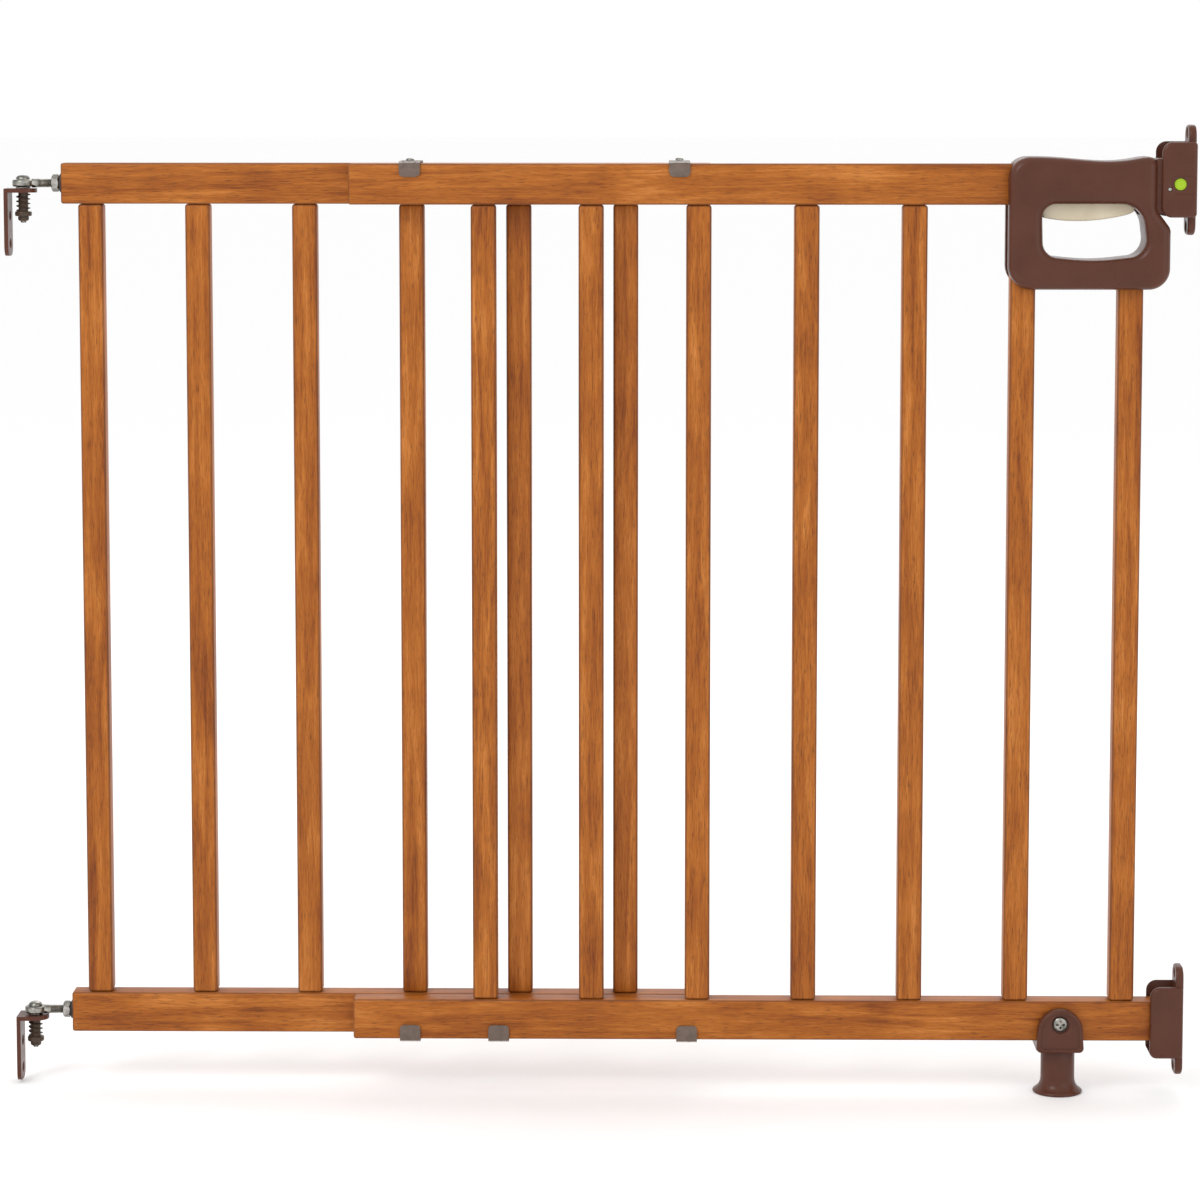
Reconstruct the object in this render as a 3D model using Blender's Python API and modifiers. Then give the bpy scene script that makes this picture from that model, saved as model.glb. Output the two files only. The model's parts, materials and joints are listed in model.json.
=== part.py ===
"""Wooden baby gate: two sliding baluster panels, wall hinges, squeeze-handle latch and wall brackets.

Sizes are in millimetres and turned into metres as the objects are made. X runs from the hinge wall to
the latch wall, -Y is the room side, Z is up from the floor.
"""

import math

import bmesh
import bpy
from mathutils import Matrix

MM = 0.001
GAP = 0.3
WELD = 0.00001

RAIL_HEIGHT = 34.9
RAIL_DEPTH = 22.0
TOP_RAIL_Z = 772.4
BOTTOM_RAIL_Z = 47.5
FRONT_RAIL_Y = -18.3
REAR_RAIL_Y = 3.9
RAIL_EDGE = 1.6
REAR_RAIL_X = (-460.0, 98.5)
FRONT_TOP_RAIL_X = (-211.5, 375.0)
FRONT_BOTTOM_RAIL_X = (-211.5, 500.0)

BALUSTER_WIDTH = 21.5
BALUSTER_DEPTH = 19.0
BALUSTER_EDGE = 2.4
BALUSTER_PITCH = 92.0
FRONT_BALUSTER_X = -96.5
REAR_BALUSTER_X = -435.0
FRONT_BALUSTERS = 7
REAR_BALUSTERS = 6
TENON = 11.0
TENON_LENGTH = 9.0
SHORT_BALUSTER_TOP = 714.0

WALL_X = 509.0
HINGE_X = -494.0
HINGE_Y = REAR_RAIL_Y + RAIL_DEPTH / 2
TOP_HINGE_Z = TOP_RAIL_Z + RAIL_HEIGHT / 2
BOTTOM_HINGE_Z = BOTTOM_RAIL_Z + RAIL_HEIGHT / 2
HINGE_HALF_WIDTH = 12.0
HINGE_PLATE = 3.5
HINGE_PLATE_LENGTH = 58.0
FLANGE_DROP = 4.5
EYE_RADIUS = 9.2
EYE_HALF = 3.0
PIVOT_RADIUS = 2.5
ROD_RADIUS = 3.8
ROD_END_X = -436.0
FIN_PITCH = 4.0
FIN_COUNT = 4

CLIP_WIDTH = 18.0
CLIP_SHEET = 1.8
CLIP_TAB = 11.5
BOTTOM_CLIP_TAB = 13.0
CLIP_CORNER = 4.0
TOP_CLIPS_X = {"top_clip_left": -159.0, "top_clip_right": 71.0}
BOTTOM_CLIPS_X = {"bottom_clip_left": -162.0, "bottom_clip_right": 78.5, "lock_clip": -85.0}

HANDLE_X = (350.0, 487.4)
HANDLE_Z = (700.6, 813.5)
HANDLE_Y = (-31.3, 16.7)
HANDLE_SHOULDER_X = 475.7
HANDLE_SPLIT_Y = -7.3
HANDLE_DIP = 3.6
HANDLE_EDGE = 4.0
NOSE_X = 502.0
NOSE_Z = (765.0, 812.0)
NOSE_HALF = 19.4
LATCH_PIN_X = 485.4
LATCH_PIN_Z = 786.0
LATCH_PIN_RADIUS = 1.6
HOOK_PIVOT = (440.0, 797.0)
HOOK_HALF = 2.0
HOOK_EYE = 5.0
HOOK_BARB = ((483.2, 794.3), (484.2, 788.1), (485.9, 787.95), (490.05, 786.8), (494.16, 785.4), (495.2, 785.0))
TRIGGER_HALF = 9.0
SPRING_X = 415.0
SPRING_Z = (782.4, 806.6)
SPRING_RADIUS = 3.6
SPRING_WIRE = 0.5
SPRING_TURNS = 6

STRIKE_X = 478.9
STRIKE_Z = (762.0, 826.0)
STRIKE_WALL = 3.5
STRIKE_TAB_Z = (746.6, 840.4)
CUP_X = 480.0
CUP_Z = (33.0, 96.0)
CUP_Y = (-24.3, 9.7)
CUP_WALL = 4.0
CUP_TAB_Z = (17.0, 113.0)
TAB_HALF = 14.0
DOT_CENTRE = (494.3, 790.2)
DOT_RADIUS = 5.0

FOOT_X = 402.0
FOOT_CAP_HALF = 20.8
FOOT_CAP_Z = (39.0, 57.6)
FOOT_CAP_Y = -28.3
FOOT_SHELF_INSET = 0.5
FOOT_RADIUS = 14.7
FOOT_FLARE = 21.5
FOOT_TOP = 40.6
STUD_RADIUS = 4.0
CAP_SCREW_Z = 64.0

PANEL_Y = FRONT_RAIL_Y + RAIL_DEPTH / 2
ROUND_STEPS = 20
SMOOTH_ANGLE = math.radians(35)

JOINT_AXES = {
    "gate_swing_axis": (
        (HINGE_X, HINGE_Y, 0),
        ("rear_", "eye_bolt_", "jam_nut_", "rail_insert_", "top_clip_right", "bottom_clip_right"),
    ),
    "width_adjust_axis": ((BOTTOM_CLIPS_X["lock_clip"], HINGE_Y, BOTTOM_HINGE_Z), ("lock_",)),
    "open_slide_axis": (
        (FRONT_TOP_RAIL_X[1], PANEL_Y, TOP_HINGE_Z),
        ("front_", "top_clip_left", "bottom_clip_left", "handle_", "hook_pin", "foot_cap", "cap_screw"),
    ),
    "trigger_squeeze_axis": ((SPRING_X, PANEL_Y, SPRING_Z[0]), ("trigger",)),
    "hook_lift_axis": ((HOOK_PIVOT[0], PANEL_Y, HOOK_PIVOT[1]), ("latch_hook",)),
    "foot_height_axis": ((FOOT_X, PANEL_Y, 0), ("foot_base", "foot_stud")),
    "strike_width_axis": ((WALL_X, PANEL_Y, TOP_HINGE_Z), ("strike_", "cup_bracket")),
    "indicator_sink_axis": ((DOT_CENTRE[0], HANDLE_Y[0], DOT_CENTRE[1]), ("indicator_button",)),
}

COLOURS = {
    "wood": ((0.41, 0.155, 0.045), 0.42, 0.0),
    "brown_plastic": ((0.105, 0.042, 0.030), 0.38, 0.0),
    "beige_plastic": ((0.56, 0.47, 0.34), 0.42, 0.0),
    "green_plastic": ((0.38, 0.60, 0.035), 0.35, 0.0),
    "clip_steel": ((0.22, 0.15, 0.115), 0.42, 0.6),
    "zinc_steel": ((0.62, 0.61, 0.59), 0.30, 1.0),
    "dark_insert": ((0.035, 0.028, 0.025), 0.5, 0.0),
}


def clear_scene():
    for obj in list(bpy.data.objects):
        bpy.data.objects.remove(obj, do_unlink=True)


def new_collection(name):
    collection = bpy.data.collections.new(name)
    bpy.context.scene.collection.children.link(collection)
    return collection


def make_materials():
    made = {}
    for name, (colour, roughness, metallic) in COLOURS.items():
        material = bpy.data.materials.new(name)
        material.use_nodes = True
        shader = material.node_tree.nodes["Principled BSDF"]
        shader.inputs["Base Color"].default_value = (*colour, 1.0)
        shader.inputs["Roughness"].default_value = roughness
        shader.inputs["Metallic"].default_value = metallic
        made[name] = material
    return made


clear_scene()
GATE = new_collection("wooden_baby_gate")
CUTTERS = new_collection("cutters")
MATERIALS = make_materials()
NORMAL_TO = {
    "Z": Matrix.Identity(4),
    "Y": Matrix.Rotation(math.radians(90), 4, "X"),
    "X": Matrix(((0, 0, 1, 0), (1, 0, 0, 0), (0, 1, 0, 0), (0, 0, 0, 1))),
}


def place(obj, material):
    """Put an object in the gate with its material, or with the cutters when it has none."""
    if material is None:
        CUTTERS.objects.link(obj)
        obj.hide_render = True
        obj.display_type = "WIRE"
        return obj
    GATE.objects.link(obj)
    obj.data.materials.append(MATERIALS[material])
    return obj


def box(name, x, y, z, material=None):
    """An upright box given by its low and high sides."""
    mesh = bpy.data.meshes.new(name)
    shape = bmesh.new()
    bmesh.ops.create_cube(shape, size=1.0)
    size = [(high - low) * MM for low, high in (x, y, z)]
    middle = [(high + low) / 2 * MM for low, high in (x, y, z)]
    bmesh.ops.scale(shape, vec=size, verts=shape.verts)
    bmesh.ops.translate(shape, vec=middle, verts=shape.verts)
    shape.to_mesh(mesh)
    shape.free()
    return place(bpy.data.objects.new(name, mesh), material)


def arc(centre, radius, start, end, steps=8):
    """Points along an arc in degrees."""
    turn = [math.radians(start + (end - start) * i / steps) for i in range(steps + 1)]
    return [(centre[0] + radius * math.cos(a), centre[1] + radius * math.sin(a)) for a in turn]


def rounded(corners, steps=5):
    """A closed outline from (u, v, radius) corners, each corner turned into a tangent arc."""
    points = []
    count = len(corners)
    for i, (u, v, radius) in enumerate(corners):
        if radius == 0:
            points.append((u, v))
            continue
        before = corners[i - 1]
        after = corners[(i + 1) % count]
        back = unit(before[0] - u, before[1] - v)
        ahead = unit(after[0] - u, after[1] - v)
        half = math.acos(max(-1.0, min(1.0, back[0] * ahead[0] + back[1] * ahead[1]))) / 2
        reach = radius / math.tan(half)
        middle = unit(back[0] + ahead[0], back[1] + ahead[1])
        centre = (u + middle[0] * radius / math.sin(half), v + middle[1] * radius / math.sin(half))
        first = (u + back[0] * reach - centre[0], v + back[1] * reach - centre[1])
        last = (u + ahead[0] * reach - centre[0], v + ahead[1] * reach - centre[1])
        start = math.atan2(first[1], first[0])
        sweep = math.remainder(math.atan2(last[1], last[0]) - start, math.tau)
        for k in range(steps + 1):
            angle = start + sweep * k / steps
            points.append((centre[0] + radius * math.cos(angle), centre[1] + radius * math.sin(angle)))
    return points


def unit(u, v):
    length = math.hypot(u, v)
    return u / length, v / length


def plate(name, outline, normal, low, high, material=None):
    """A flat outline given thickness along its normal; the outline is (X, Y), (X, Z) or (Y, Z)."""
    curve = bpy.data.curves.new(name, "CURVE")
    curve.dimensions = "2D"
    curve.fill_mode = "BOTH"
    curve.extrude = (high - low) / 2 * MM
    line = curve.splines.new("POLY")
    line.points.add(len(outline) - 1)
    for point, (u, v) in zip(line.points, outline):
        point.co = (u * MM, v * MM, 0.0, 1.0)
    line.use_cyclic_u = True
    drawn = bpy.data.objects.new(name + "_outline", curve)
    bpy.context.scene.collection.objects.link(drawn)
    mesh = meshed(drawn, name, flat=True)
    shift = Matrix.Translation([(low + high) / 2 * MM * (axis == normal) for axis in "XYZ"])
    mesh.transform(shift @ NORMAL_TO[normal])
    return place(bpy.data.objects.new(name, mesh), material)


def meshed(drawn, name, flat=False):
    """The closed mesh of a drawn curve; flat caps become single faces, and the curve is removed."""
    graph = bpy.context.evaluated_depsgraph_get()
    mesh = bpy.data.meshes.new_from_object(drawn.evaluated_get(graph))
    mesh.name = name
    shape = bmesh.new()
    shape.from_mesh(mesh)
    bmesh.ops.remove_doubles(shape, verts=shape.verts, dist=WELD)
    if flat:
        bmesh.ops.dissolve_limit(shape, angle_limit=WELD, verts=shape.verts, edges=shape.edges)
    bmesh.ops.recalc_face_normals(shape, faces=shape.faces)
    shape.to_mesh(mesh)
    shape.free()
    bpy.data.objects.remove(drawn, do_unlink=True)
    return mesh


def turned(name, profile, centre, axis="Z", material=None, closed=False, steps=ROUND_STEPS):
    """A turned piece: (radius, height) points run down the outer side, height along the axis."""
    mesh = bpy.data.meshes.new(name)
    points = [(radius * MM, 0.0, height * MM) for radius, height in profile]
    edges = [(i, i + 1) for i in range(len(points) - 1)]
    if closed:
        edges.append((len(points) - 1, 0))
    mesh.from_pydata(points, edges, [])
    obj = bpy.data.objects.new(name, mesh)
    place(obj, material)
    obj.matrix_world = Matrix.Translation([value * MM for value in centre]) @ NORMAL_TO[axis]
    screw = obj.modifiers.new("turn", "SCREW")
    screw.axis = "Z"
    screw.angle = math.tau
    screw.steps = steps
    screw.render_steps = steps
    screw.use_merge_vertices = True
    screw.merge_threshold = 0.00002
    screw.use_smooth_shade = True
    return obj


def rod(name, radius, low, high, centre, axis="Z", material=None, steps=ROUND_STEPS, sides=0):
    """A plain round bar, or a bar with flat sides, from low to high along its axis."""
    mesh = bpy.data.meshes.new(name)
    shape = bmesh.new()
    bmesh.ops.create_cone(
        shape,
        cap_ends=True,
        segments=sides or steps,
        radius1=radius * MM,
        radius2=radius * MM,
        depth=(high - low) * MM,
        matrix=Matrix.Translation((0, 0, (low + high) / 2 * MM)),
    )
    shape.to_mesh(mesh)
    shape.free()
    mesh.transform(Matrix.Translation([value * MM for value in centre]) @ NORMAL_TO[axis])
    return place(bpy.data.objects.new(name, mesh), material)


def combine(target, other, operation="DIFFERENCE"):
    """Cut, join or trim the target with another shape."""
    step = target.modifiers.new(operation.lower(), "BOOLEAN")
    step.operation = operation
    step.solver = "EXACT"
    step.object = other
    return target


def soften(obj, width, segments=2, angle=50):
    """Round the edges that turn by more than the angle."""
    step = obj.modifiers.new("rounding", "BEVEL")
    step.width = width * MM
    step.segments = segments
    step.limit_method = "ANGLE"
    step.angle_limit = math.radians(angle)
    return obj


def settle(obj):
    """Apply everything on an object so it can be used as one plain mesh."""
    graph = bpy.context.evaluated_depsgraph_get()
    mesh = bpy.data.meshes.new_from_object(obj.evaluated_get(graph))
    obj.modifiers.clear()
    obj.data = mesh
    return obj


def rail(name, x, low_y, low_z, mortises, mortise_side):
    """A rail with rounded edges and a row of mortises on its inner side."""
    body = box(name, x, (low_y, low_y + RAIL_DEPTH), (low_z, low_z + RAIL_HEIGHT), "wood")
    soften(body, RAIL_EDGE)
    half = TENON / 2 + GAP
    middle = low_y + RAIL_DEPTH / 2
    if mortise_side < 0:
        z = (low_z - 1, low_z + TENON_LENGTH + GAP)
    else:
        z = (low_z + RAIL_HEIGHT - TENON_LENGTH - GAP, low_z + RAIL_HEIGHT + 1)
    for i, centre in enumerate(mortises):
        hole = box(f"{name}_mortise_{i}", (centre - half, centre + half), (middle - half, middle + half), z)
        combine(body, hole)
    return body


def baluster(name, centre, low_y, top=TOP_RAIL_Z):
    """A square baluster with rounded edges and a tenon at each end that meets a rail."""
    middle = low_y + RAIL_DEPTH / 2
    low = BOTTOM_RAIL_Z + RAIL_HEIGHT + GAP
    high = top - GAP
    body = box(
        name,
        (centre - BALUSTER_WIDTH / 2, centre + BALUSTER_WIDTH / 2),
        (middle - BALUSTER_DEPTH / 2, middle + BALUSTER_DEPTH / 2),
        (low, high),
        "wood",
    )
    soften(body, BALUSTER_EDGE)
    tenon_top = high + TENON_LENGTH if top == TOP_RAIL_Z else high - BALUSTER_EDGE
    tenons = box(
        f"{name}_tenons",
        (centre - TENON / 2, centre + TENON / 2),
        (middle - TENON / 2, middle + TENON / 2),
        (low - TENON_LENGTH, tenon_top),
    )
    return combine(body, tenons, "UNION")


def hinge(end, height):
    """One wall hinge: bracket, finned bushing, washer, pivot bolt and nut, eye bolt, jam nut, insert."""
    axis = (HINGE_X, HINGE_Y, height)
    flange_top = height - FLANGE_DROP
    flange_low = flange_top - HINGE_PLATE
    foot = flange_top - HINGE_PLATE_LENGTH
    inside = -WALL_X + HINGE_PLATE
    tip = HINGE_X + HINGE_HALF_WIDTH + 1
    bend = [(-WALL_X, foot - 1), (inside, foot - 1), (inside, flange_low), (tip, flange_low)]
    bend += [(tip, flange_top), (-WALL_X, flange_top)]
    low_y = HINGE_Y - HINGE_HALF_WIDTH
    high_y = HINGE_Y + HINGE_HALF_WIDTH
    bracket = plate(f"hinge_bracket_{end}", bend, "Y", low_y - 2, high_y + 2, "brown_plastic")
    tongue = [(-WALL_X - 5, low_y), *arc((HINGE_X, HINGE_Y), HINGE_HALF_WIDTH, -90, 90, 12)]
    tongue += [(-WALL_X - 5, high_y)]
    combine(bracket, plate(f"hinge_tip_{end}", tongue, "Z", foot - 5, flange_top + 5), "INTERSECT")
    side = [(low_y - 3, foot, 9), (high_y + 3, foot, 9)]
    side += [(high_y + 3, flange_top + 9, 0), (low_y - 3, flange_top + 9, 0)]
    combine(bracket, plate(f"hinge_corners_{end}", rounded(side), "X", -WALL_X - 5, 0), "INTERSECT")
    soften(bracket, 0.6, 1)
    combine(bracket, rod(f"hinge_hole_{end}", 4.5, -20, 20, axis, "Z"))
    for i, drop in enumerate((20, 44)):
        centre = (-WALL_X, HINGE_Y, flange_low - drop)
        combine(bracket, rod(f"hinge_screw_hole_{end}_{i}", 2.6, -10, 20, centre, "X"))

    bore = PIVOT_RADIUS + GAP
    top = -FLANGE_DROP - GAP
    fins_top = -FLANGE_DROP - HINGE_PLATE - GAP
    profile = [(bore, top), (4.2, top), (4.2, fins_top)]
    for i in range(FIN_COUNT):
        start = fins_top - FIN_PITCH * i
        profile += [(6.3, start - 0.7), (6.3, start - 1.7), (4.2, start - 2.4)]
        profile += [(4.2, start - FIN_PITCH)]
    disc = fins_top - FIN_PITCH * FIN_COUNT
    profile += [(7.2, disc), (7.2, disc - 4), (bore, disc - 4)]
    turned(f"hinge_bushing_{end}", profile, axis, "Z", "brown_plastic", closed=True, steps=16)

    ring = [(bore, -EYE_HALF - GAP), (6.4, -EYE_HALF - GAP)]
    ring += [(6.4, -FLANGE_DROP + GAP), (bore, -FLANGE_DROP + GAP)]
    turned(f"pivot_washer_{end}", ring, axis, "Z", "zinc_steel", closed=True, steps=18)

    seat = EYE_HALF + GAP
    nut_top = disc - 4 - GAP
    bolt = [(0, seat + 3.6), (3.4, seat + 3.4), (5.4, seat + 2.4), (6.0, seat + 1.2), (6.0, seat)]
    bolt += [(PIVOT_RADIUS, seat), (PIVOT_RADIUS, nut_top - 5.4), (0, nut_top - 5.4)]
    turned(f"pivot_bolt_{end}", bolt, axis, "Z", "zinc_steel", steps=18)
    nut = rod(f"pivot_nut_{end}", 4.7, nut_top - 4, nut_top, axis, "Z", "brown_plastic", sides=6)
    combine(nut, rod(f"pivot_nut_hole_{end}", bore, -60, 0, axis, "Z", steps=16))

    eye = [(PIVOT_RADIUS + 0.4, EYE_HALF), (EYE_RADIUS - 1, EYE_HALF), (EYE_RADIUS, EYE_HALF - 1)]
    eye += [(EYE_RADIUS, 1 - EYE_HALF), (EYE_RADIUS - 1, -EYE_HALF), (PIVOT_RADIUS + 0.4, -EYE_HALF)]
    eye_bolt = turned(f"eye_bolt_{end}", eye, axis, "Z", "zinc_steel", closed=True)
    shank = rod(f"eye_shank_{end}", ROD_RADIUS, HINGE_X + 7.6, ROD_END_X, (0, HINGE_Y, height), "X", steps=18)
    combine(eye_bolt, shank, "UNION")
    clear = ROD_RADIUS + GAP
    jam = rod(f"jam_nut_{end}", 7.5, -469.0, -462.6, (0, HINGE_Y, height), "X", "zinc_steel", sides=6)
    combine(jam, rod(f"jam_nut_hole_{end}", clear, -480, -450, (0, HINGE_Y, height), "X", steps=16))
    end_x = REAR_RAIL_X[0]
    sleeve = [(clear, 18), (5.5, 18), (5.5, -GAP), (8.0, -GAP), (8.0, -2.2), (clear, -2.2)]
    turned(f"rail_insert_{end}", sleeve, (end_x, HINGE_Y, height), "X", "dark_insert", closed=True, steps=18)
    hole = rod(f"insert_hole_{end}", 5.8, -5, 26, (end_x, HINGE_Y, height), "X")
    combine(bpy.data.objects[f"rear_{end}_rail"], hole)


def clip(name, centre, upward, tab, screw_rail):
    """A bent steel strap round both rails; it is screwed to one rail through its back."""
    low_y = FRONT_RAIL_Y - GAP
    high_y = REAR_RAIL_Y + RAIL_DEPTH + GAP
    face = (TOP_RAIL_Z + RAIL_HEIGHT + GAP) if upward else (BOTTOM_RAIL_Z - GAP)
    side = 1 if upward else -1
    outer = face + side * CLIP_SHEET
    tip = face - side * tab
    outline = [
        (low_y - CLIP_SHEET, tip, 0),
        (low_y, tip, 0),
        (low_y, face, 0.6),
        (high_y, face, 0.6),
        (high_y, tip, 0),
        (high_y + CLIP_SHEET, tip, 0),
        (high_y + CLIP_SHEET, outer, 2.2),
        (low_y - CLIP_SHEET, outer, 2.2),
    ]
    strap = plate(name, rounded(outline, 3), "X", centre - CLIP_WIDTH / 2, centre + CLIP_WIDTH / 2, "clip_steel")
    trim = [
        (centre - CLIP_WIDTH / 2 - 1, outer + side * 5, 0),
        (centre - CLIP_WIDTH / 2, tip, CLIP_CORNER),
        (centre + CLIP_WIDTH / 2, tip, CLIP_CORNER),
        (centre + CLIP_WIDTH / 2 + 1, outer + side * 5, 0),
    ]
    combine(strap, plate(f"{name}_trim", rounded(trim, 4), "Y", -60, 60), "INTERSECT")
    if screw_rail is None:
        lock_screw(strap, centre, high_y, tip)
        return
    middle = (PANEL_Y if screw_rail.startswith("front") else HINGE_Y)
    at = (centre, middle, outer)
    combine(strap, rod(f"{name}_hole", 2.0, -10, 10, at, "Z", steps=16))
    head = [(0, 2.4), (2.2, 2.2), (3.4, 1.2), (3.6, GAP), (1.7, GAP), (1.7, -12), (0, -13.5)]
    if not upward:
        head = [(radius, -height) for radius, height in reversed(head)]
    turned(f"{name}_screw", head, at, "Z", "zinc_steel", steps=16)
    pilot = rod(f"{name}_pilot", 2.0, -15, 15, at, "Z", steps=16)
    combine(bpy.data.objects[screw_rail], pilot)


def lock_screw(strap, centre, back, tip):
    """The set screw that clamps the width lock to the rear bottom rail."""
    at = (centre, back, tip - 6.5)
    combine(strap, rod("lock_screw_hole", 2.6, -4, 10, at, "Y", steps=16))
    profile = [(0, -GAP), (2.3, -GAP), (2.3, -2.2), (4.6, -2.2), (4.6, -4.6), (3.8, -5.2), (0, -5.2)]
    turned("lock_screw", [(r, h + 0.1) for r, h in profile], at, "Y", "zinc_steel", steps=16)


def handle_form():
    """The whole handle before it is split into two shells."""
    low_x, high_x = HANDLE_X
    low_z, high_z = HANDLE_Z
    shoulder = HANDLE_SHOULDER_X
    crest = [(low_x, low_z, 20), (high_x, low_z, 18), (high_x, 751.0, 6), (shoulder, 766.0, 6)]
    crest += [(shoulder, high_z, 6)]
    outline = rounded([*crest, (low_x, high_z - 0.2, 18)])
    count = 12
    start = shoulder - 9
    end = low_x + 22
    wave = []
    for i in range(count + 1):
        share = i / count
        wave.append((start + (end - start) * share, high_z - HANDLE_DIP * math.sin(math.pi * share) ** 2))
    split = next(i for i, (u, v) in enumerate(outline) if v > high_z - 5 and u < low_x + 30)
    outline = outline[:split] + wave + outline[split:]
    form = plate("handle_form", without_repeats(outline), "Y", *HANDLE_Y)
    grip = [(378, 773, 12), (466, 773, 18), (466, 722.4, 13), (378, 727.4, 9)]
    combine(form, plate("finger_opening", rounded(grip), "Y", -60, 60))
    soften(form, HANDLE_EDGE, 2, 60)
    nose = [(shoulder - 14, NOSE_Z[0], 0), (NOSE_X, NOSE_Z[0], 5), (NOSE_X, NOSE_Z[1], 5)]
    nose += [(shoulder - 14, NOSE_Z[1], 0)]
    tongue = plate(
        "handle_nose", rounded(nose), "Y", HANDLE_SPLIT_Y - NOSE_HALF, HANDLE_SPLIT_Y + NOSE_HALF
    )
    soften(tongue, 1.2, 1, 60)
    combine(form, tongue, "UNION")
    return form


def without_repeats(points):
    """Drop points that repeat their neighbour."""
    kept = []
    for point in points:
        if not kept or math.dist(point, kept[-1]) > 0.5:
            kept.append(point)
    return kept


def handle_pockets():
    """Everything that is hollow inside the handle."""
    middle = PANEL_Y
    rail_half = RAIL_DEPTH / 2 + 0.4
    bar_half = BALUSTER_DEPTH / 2 + GAP
    last = FRONT_BALUSTER_X + BALUSTER_PITCH * (FRONT_BALUSTERS - 1)
    sixth = last - BALUSTER_PITCH
    bar = BALUSTER_WIDTH / 2 + GAP
    pockets = [
        box("rail_pocket", (330, 375.3), (middle - rail_half, middle + rail_half), (772.0, 807.7)),
        box("sixth_baluster_channel", (330, sixth + bar), (middle - bar_half, middle + bar_half), (690, 773)),
        box("last_baluster_pocket", (last - bar, last + bar), (middle - bar_half, middle + bar_half), (690, 714.3)),
        box("latch_pocket", (378.4, 473.0), (middle - 9.6, middle + 9.6), (764, 807)),
        box("hook_passage", (470.0, 497.0), (middle - 3.0, middle + 3.0), (779, 810)),
        box("pin_slot", (482.6, 510.0), (middle - 30, middle + 30), (783.6, 788.4)),
        rod("hook_pin_hole", 1.9, -14.4, 14.4, (HOOK_PIVOT[0], middle, HOOK_PIVOT[1]), "Y", steps=16),
    ]
    return pockets


def handle():
    """Front and rear shells with their screws."""
    form = handle_form()
    for pocket in handle_pockets():
        combine(form, pocket)
    settle(form)
    halves = {
        "handle_front_shell": (-60, HANDLE_SPLIT_Y - GAP / 2),
        "handle_rear_shell": (HANDLE_SPLIT_Y + GAP / 2, 60),
    }
    for name, side in halves.items():
        shell = place(bpy.data.objects.new(name, form.data.copy()), "brown_plastic")
        combine(shell, box(f"{name}_side", (300, 520), side, (650, 850)), "INTERSECT")
    for name, x, z in (("left", 363.5, 745), ("lower", 408, 711), ("right", 477.2, 734)):
        shell_screw(name, x, z)


def shell_screw(name, x, z):
    """One countersunk screw in from the rear of the handle."""
    at = (x, HANDLE_Y[1] - 5, z)
    combine(bpy.data.objects["handle_rear_shell"], rod(f"screw_head_well_{name}", 4.2, -10, 0, at, "Y", steps=18))
    for shell in ("handle_rear_shell", "handle_front_shell"):
        combine(bpy.data.objects[shell], rod(f"screw_way_{name}_{shell}", 2.0, -1, 33, at, "Y", steps=14))
    tip = 32.0
    if name == "left":
        tip = 24.0
        bar = bpy.data.objects[f"front_baluster_{FRONT_BALUSTERS - 1}"]
        combine(bar, rod("baluster_screw_hole", 2.0, 5, 26, at, "Y", steps=14))
    profile = [(0, tip), (1.7, tip - 1.5), (1.7, -GAP), (3.7, -GAP), (3.7, -1.8), (2.6, -2.6), (0, -2.6)]
    turned(f"handle_screw_{name}", profile, at, "Y", "zinc_steel", steps=16)


def latch():
    """Squeeze trigger, its return spring, the hook it lifts and the hook's pin.

    The hook's barb has a sloped underside that follows the cross pin as the latch panel slides away.
    """
    underside = [(379.2, 763.0), (390, 760.4), (402, 758.7), (415, 758.0), (430, 758.8), (444, 760.9)]
    underside += [(455.5, 763.8), (458, 766.5), (458, 776.5), (471.5, 779.5), (471.5, 793.6)]
    top = [(466.5, 793.6), (466.5, 785.5), (450, 782.0), (384, 782.0), (379.2, 778.0)]
    trigger = plate(
        "trigger", underside + top, "Y", PANEL_Y - TRIGGER_HALF, PANEL_Y + TRIGGER_HALF, "beige_plastic"
    )
    soften(trigger, 1.4, 1, 60)

    pivot_x, pivot_z = HOOK_PIVOT
    shape = arc(HOOK_PIVOT, HOOK_EYE, 90, 270, 8)
    shape += [(pivot_x + 22, pivot_z - 2.7), *HOOK_BARB, (HOOK_BARB[-1][0], pivot_z + 2.4)]
    shape += [(pivot_x + 14, pivot_z + 2.4)]
    hook = plate("latch_hook", shape, "Y", PANEL_Y - HOOK_HALF, PANEL_Y + HOOK_HALF, "zinc_steel")
    combine(hook, rod("hook_hole", 1.9, -9, 9, (pivot_x, PANEL_Y, pivot_z), "Y", steps=16))
    rod("hook_pin", 1.5, -14, 14, (pivot_x, PANEL_Y, pivot_z), "Y", "zinc_steel", steps=16)

    coil = bpy.data.curves.new("trigger_spring", "CURVE")
    coil.dimensions = "3D"
    coil.bevel_depth = SPRING_WIRE * MM
    coil.bevel_resolution = 2
    coil.use_fill_caps = True
    per_turn = 12
    count = SPRING_TURNS * per_turn + 1
    path = coil.splines.new("POLY")
    path.points.add(count - 1)
    low = SPRING_Z[0] + SPRING_WIRE
    rise = SPRING_Z[1] - SPRING_Z[0] - 2 * SPRING_WIRE
    for i, point in enumerate(path.points):
        angle = math.tau * i / per_turn
        x = SPRING_X + SPRING_RADIUS * math.cos(angle)
        y = PANEL_Y + SPRING_RADIUS * math.sin(angle)
        point.co = (x * MM, y * MM, (low + rise * i / (count - 1)) * MM, 1.0)
    drawn = bpy.data.objects.new("trigger_spring_path", coil)
    bpy.context.scene.collection.objects.link(drawn)
    place(bpy.data.objects.new("trigger_spring", meshed(drawn, "trigger_spring")), "zinc_steel")


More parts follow.
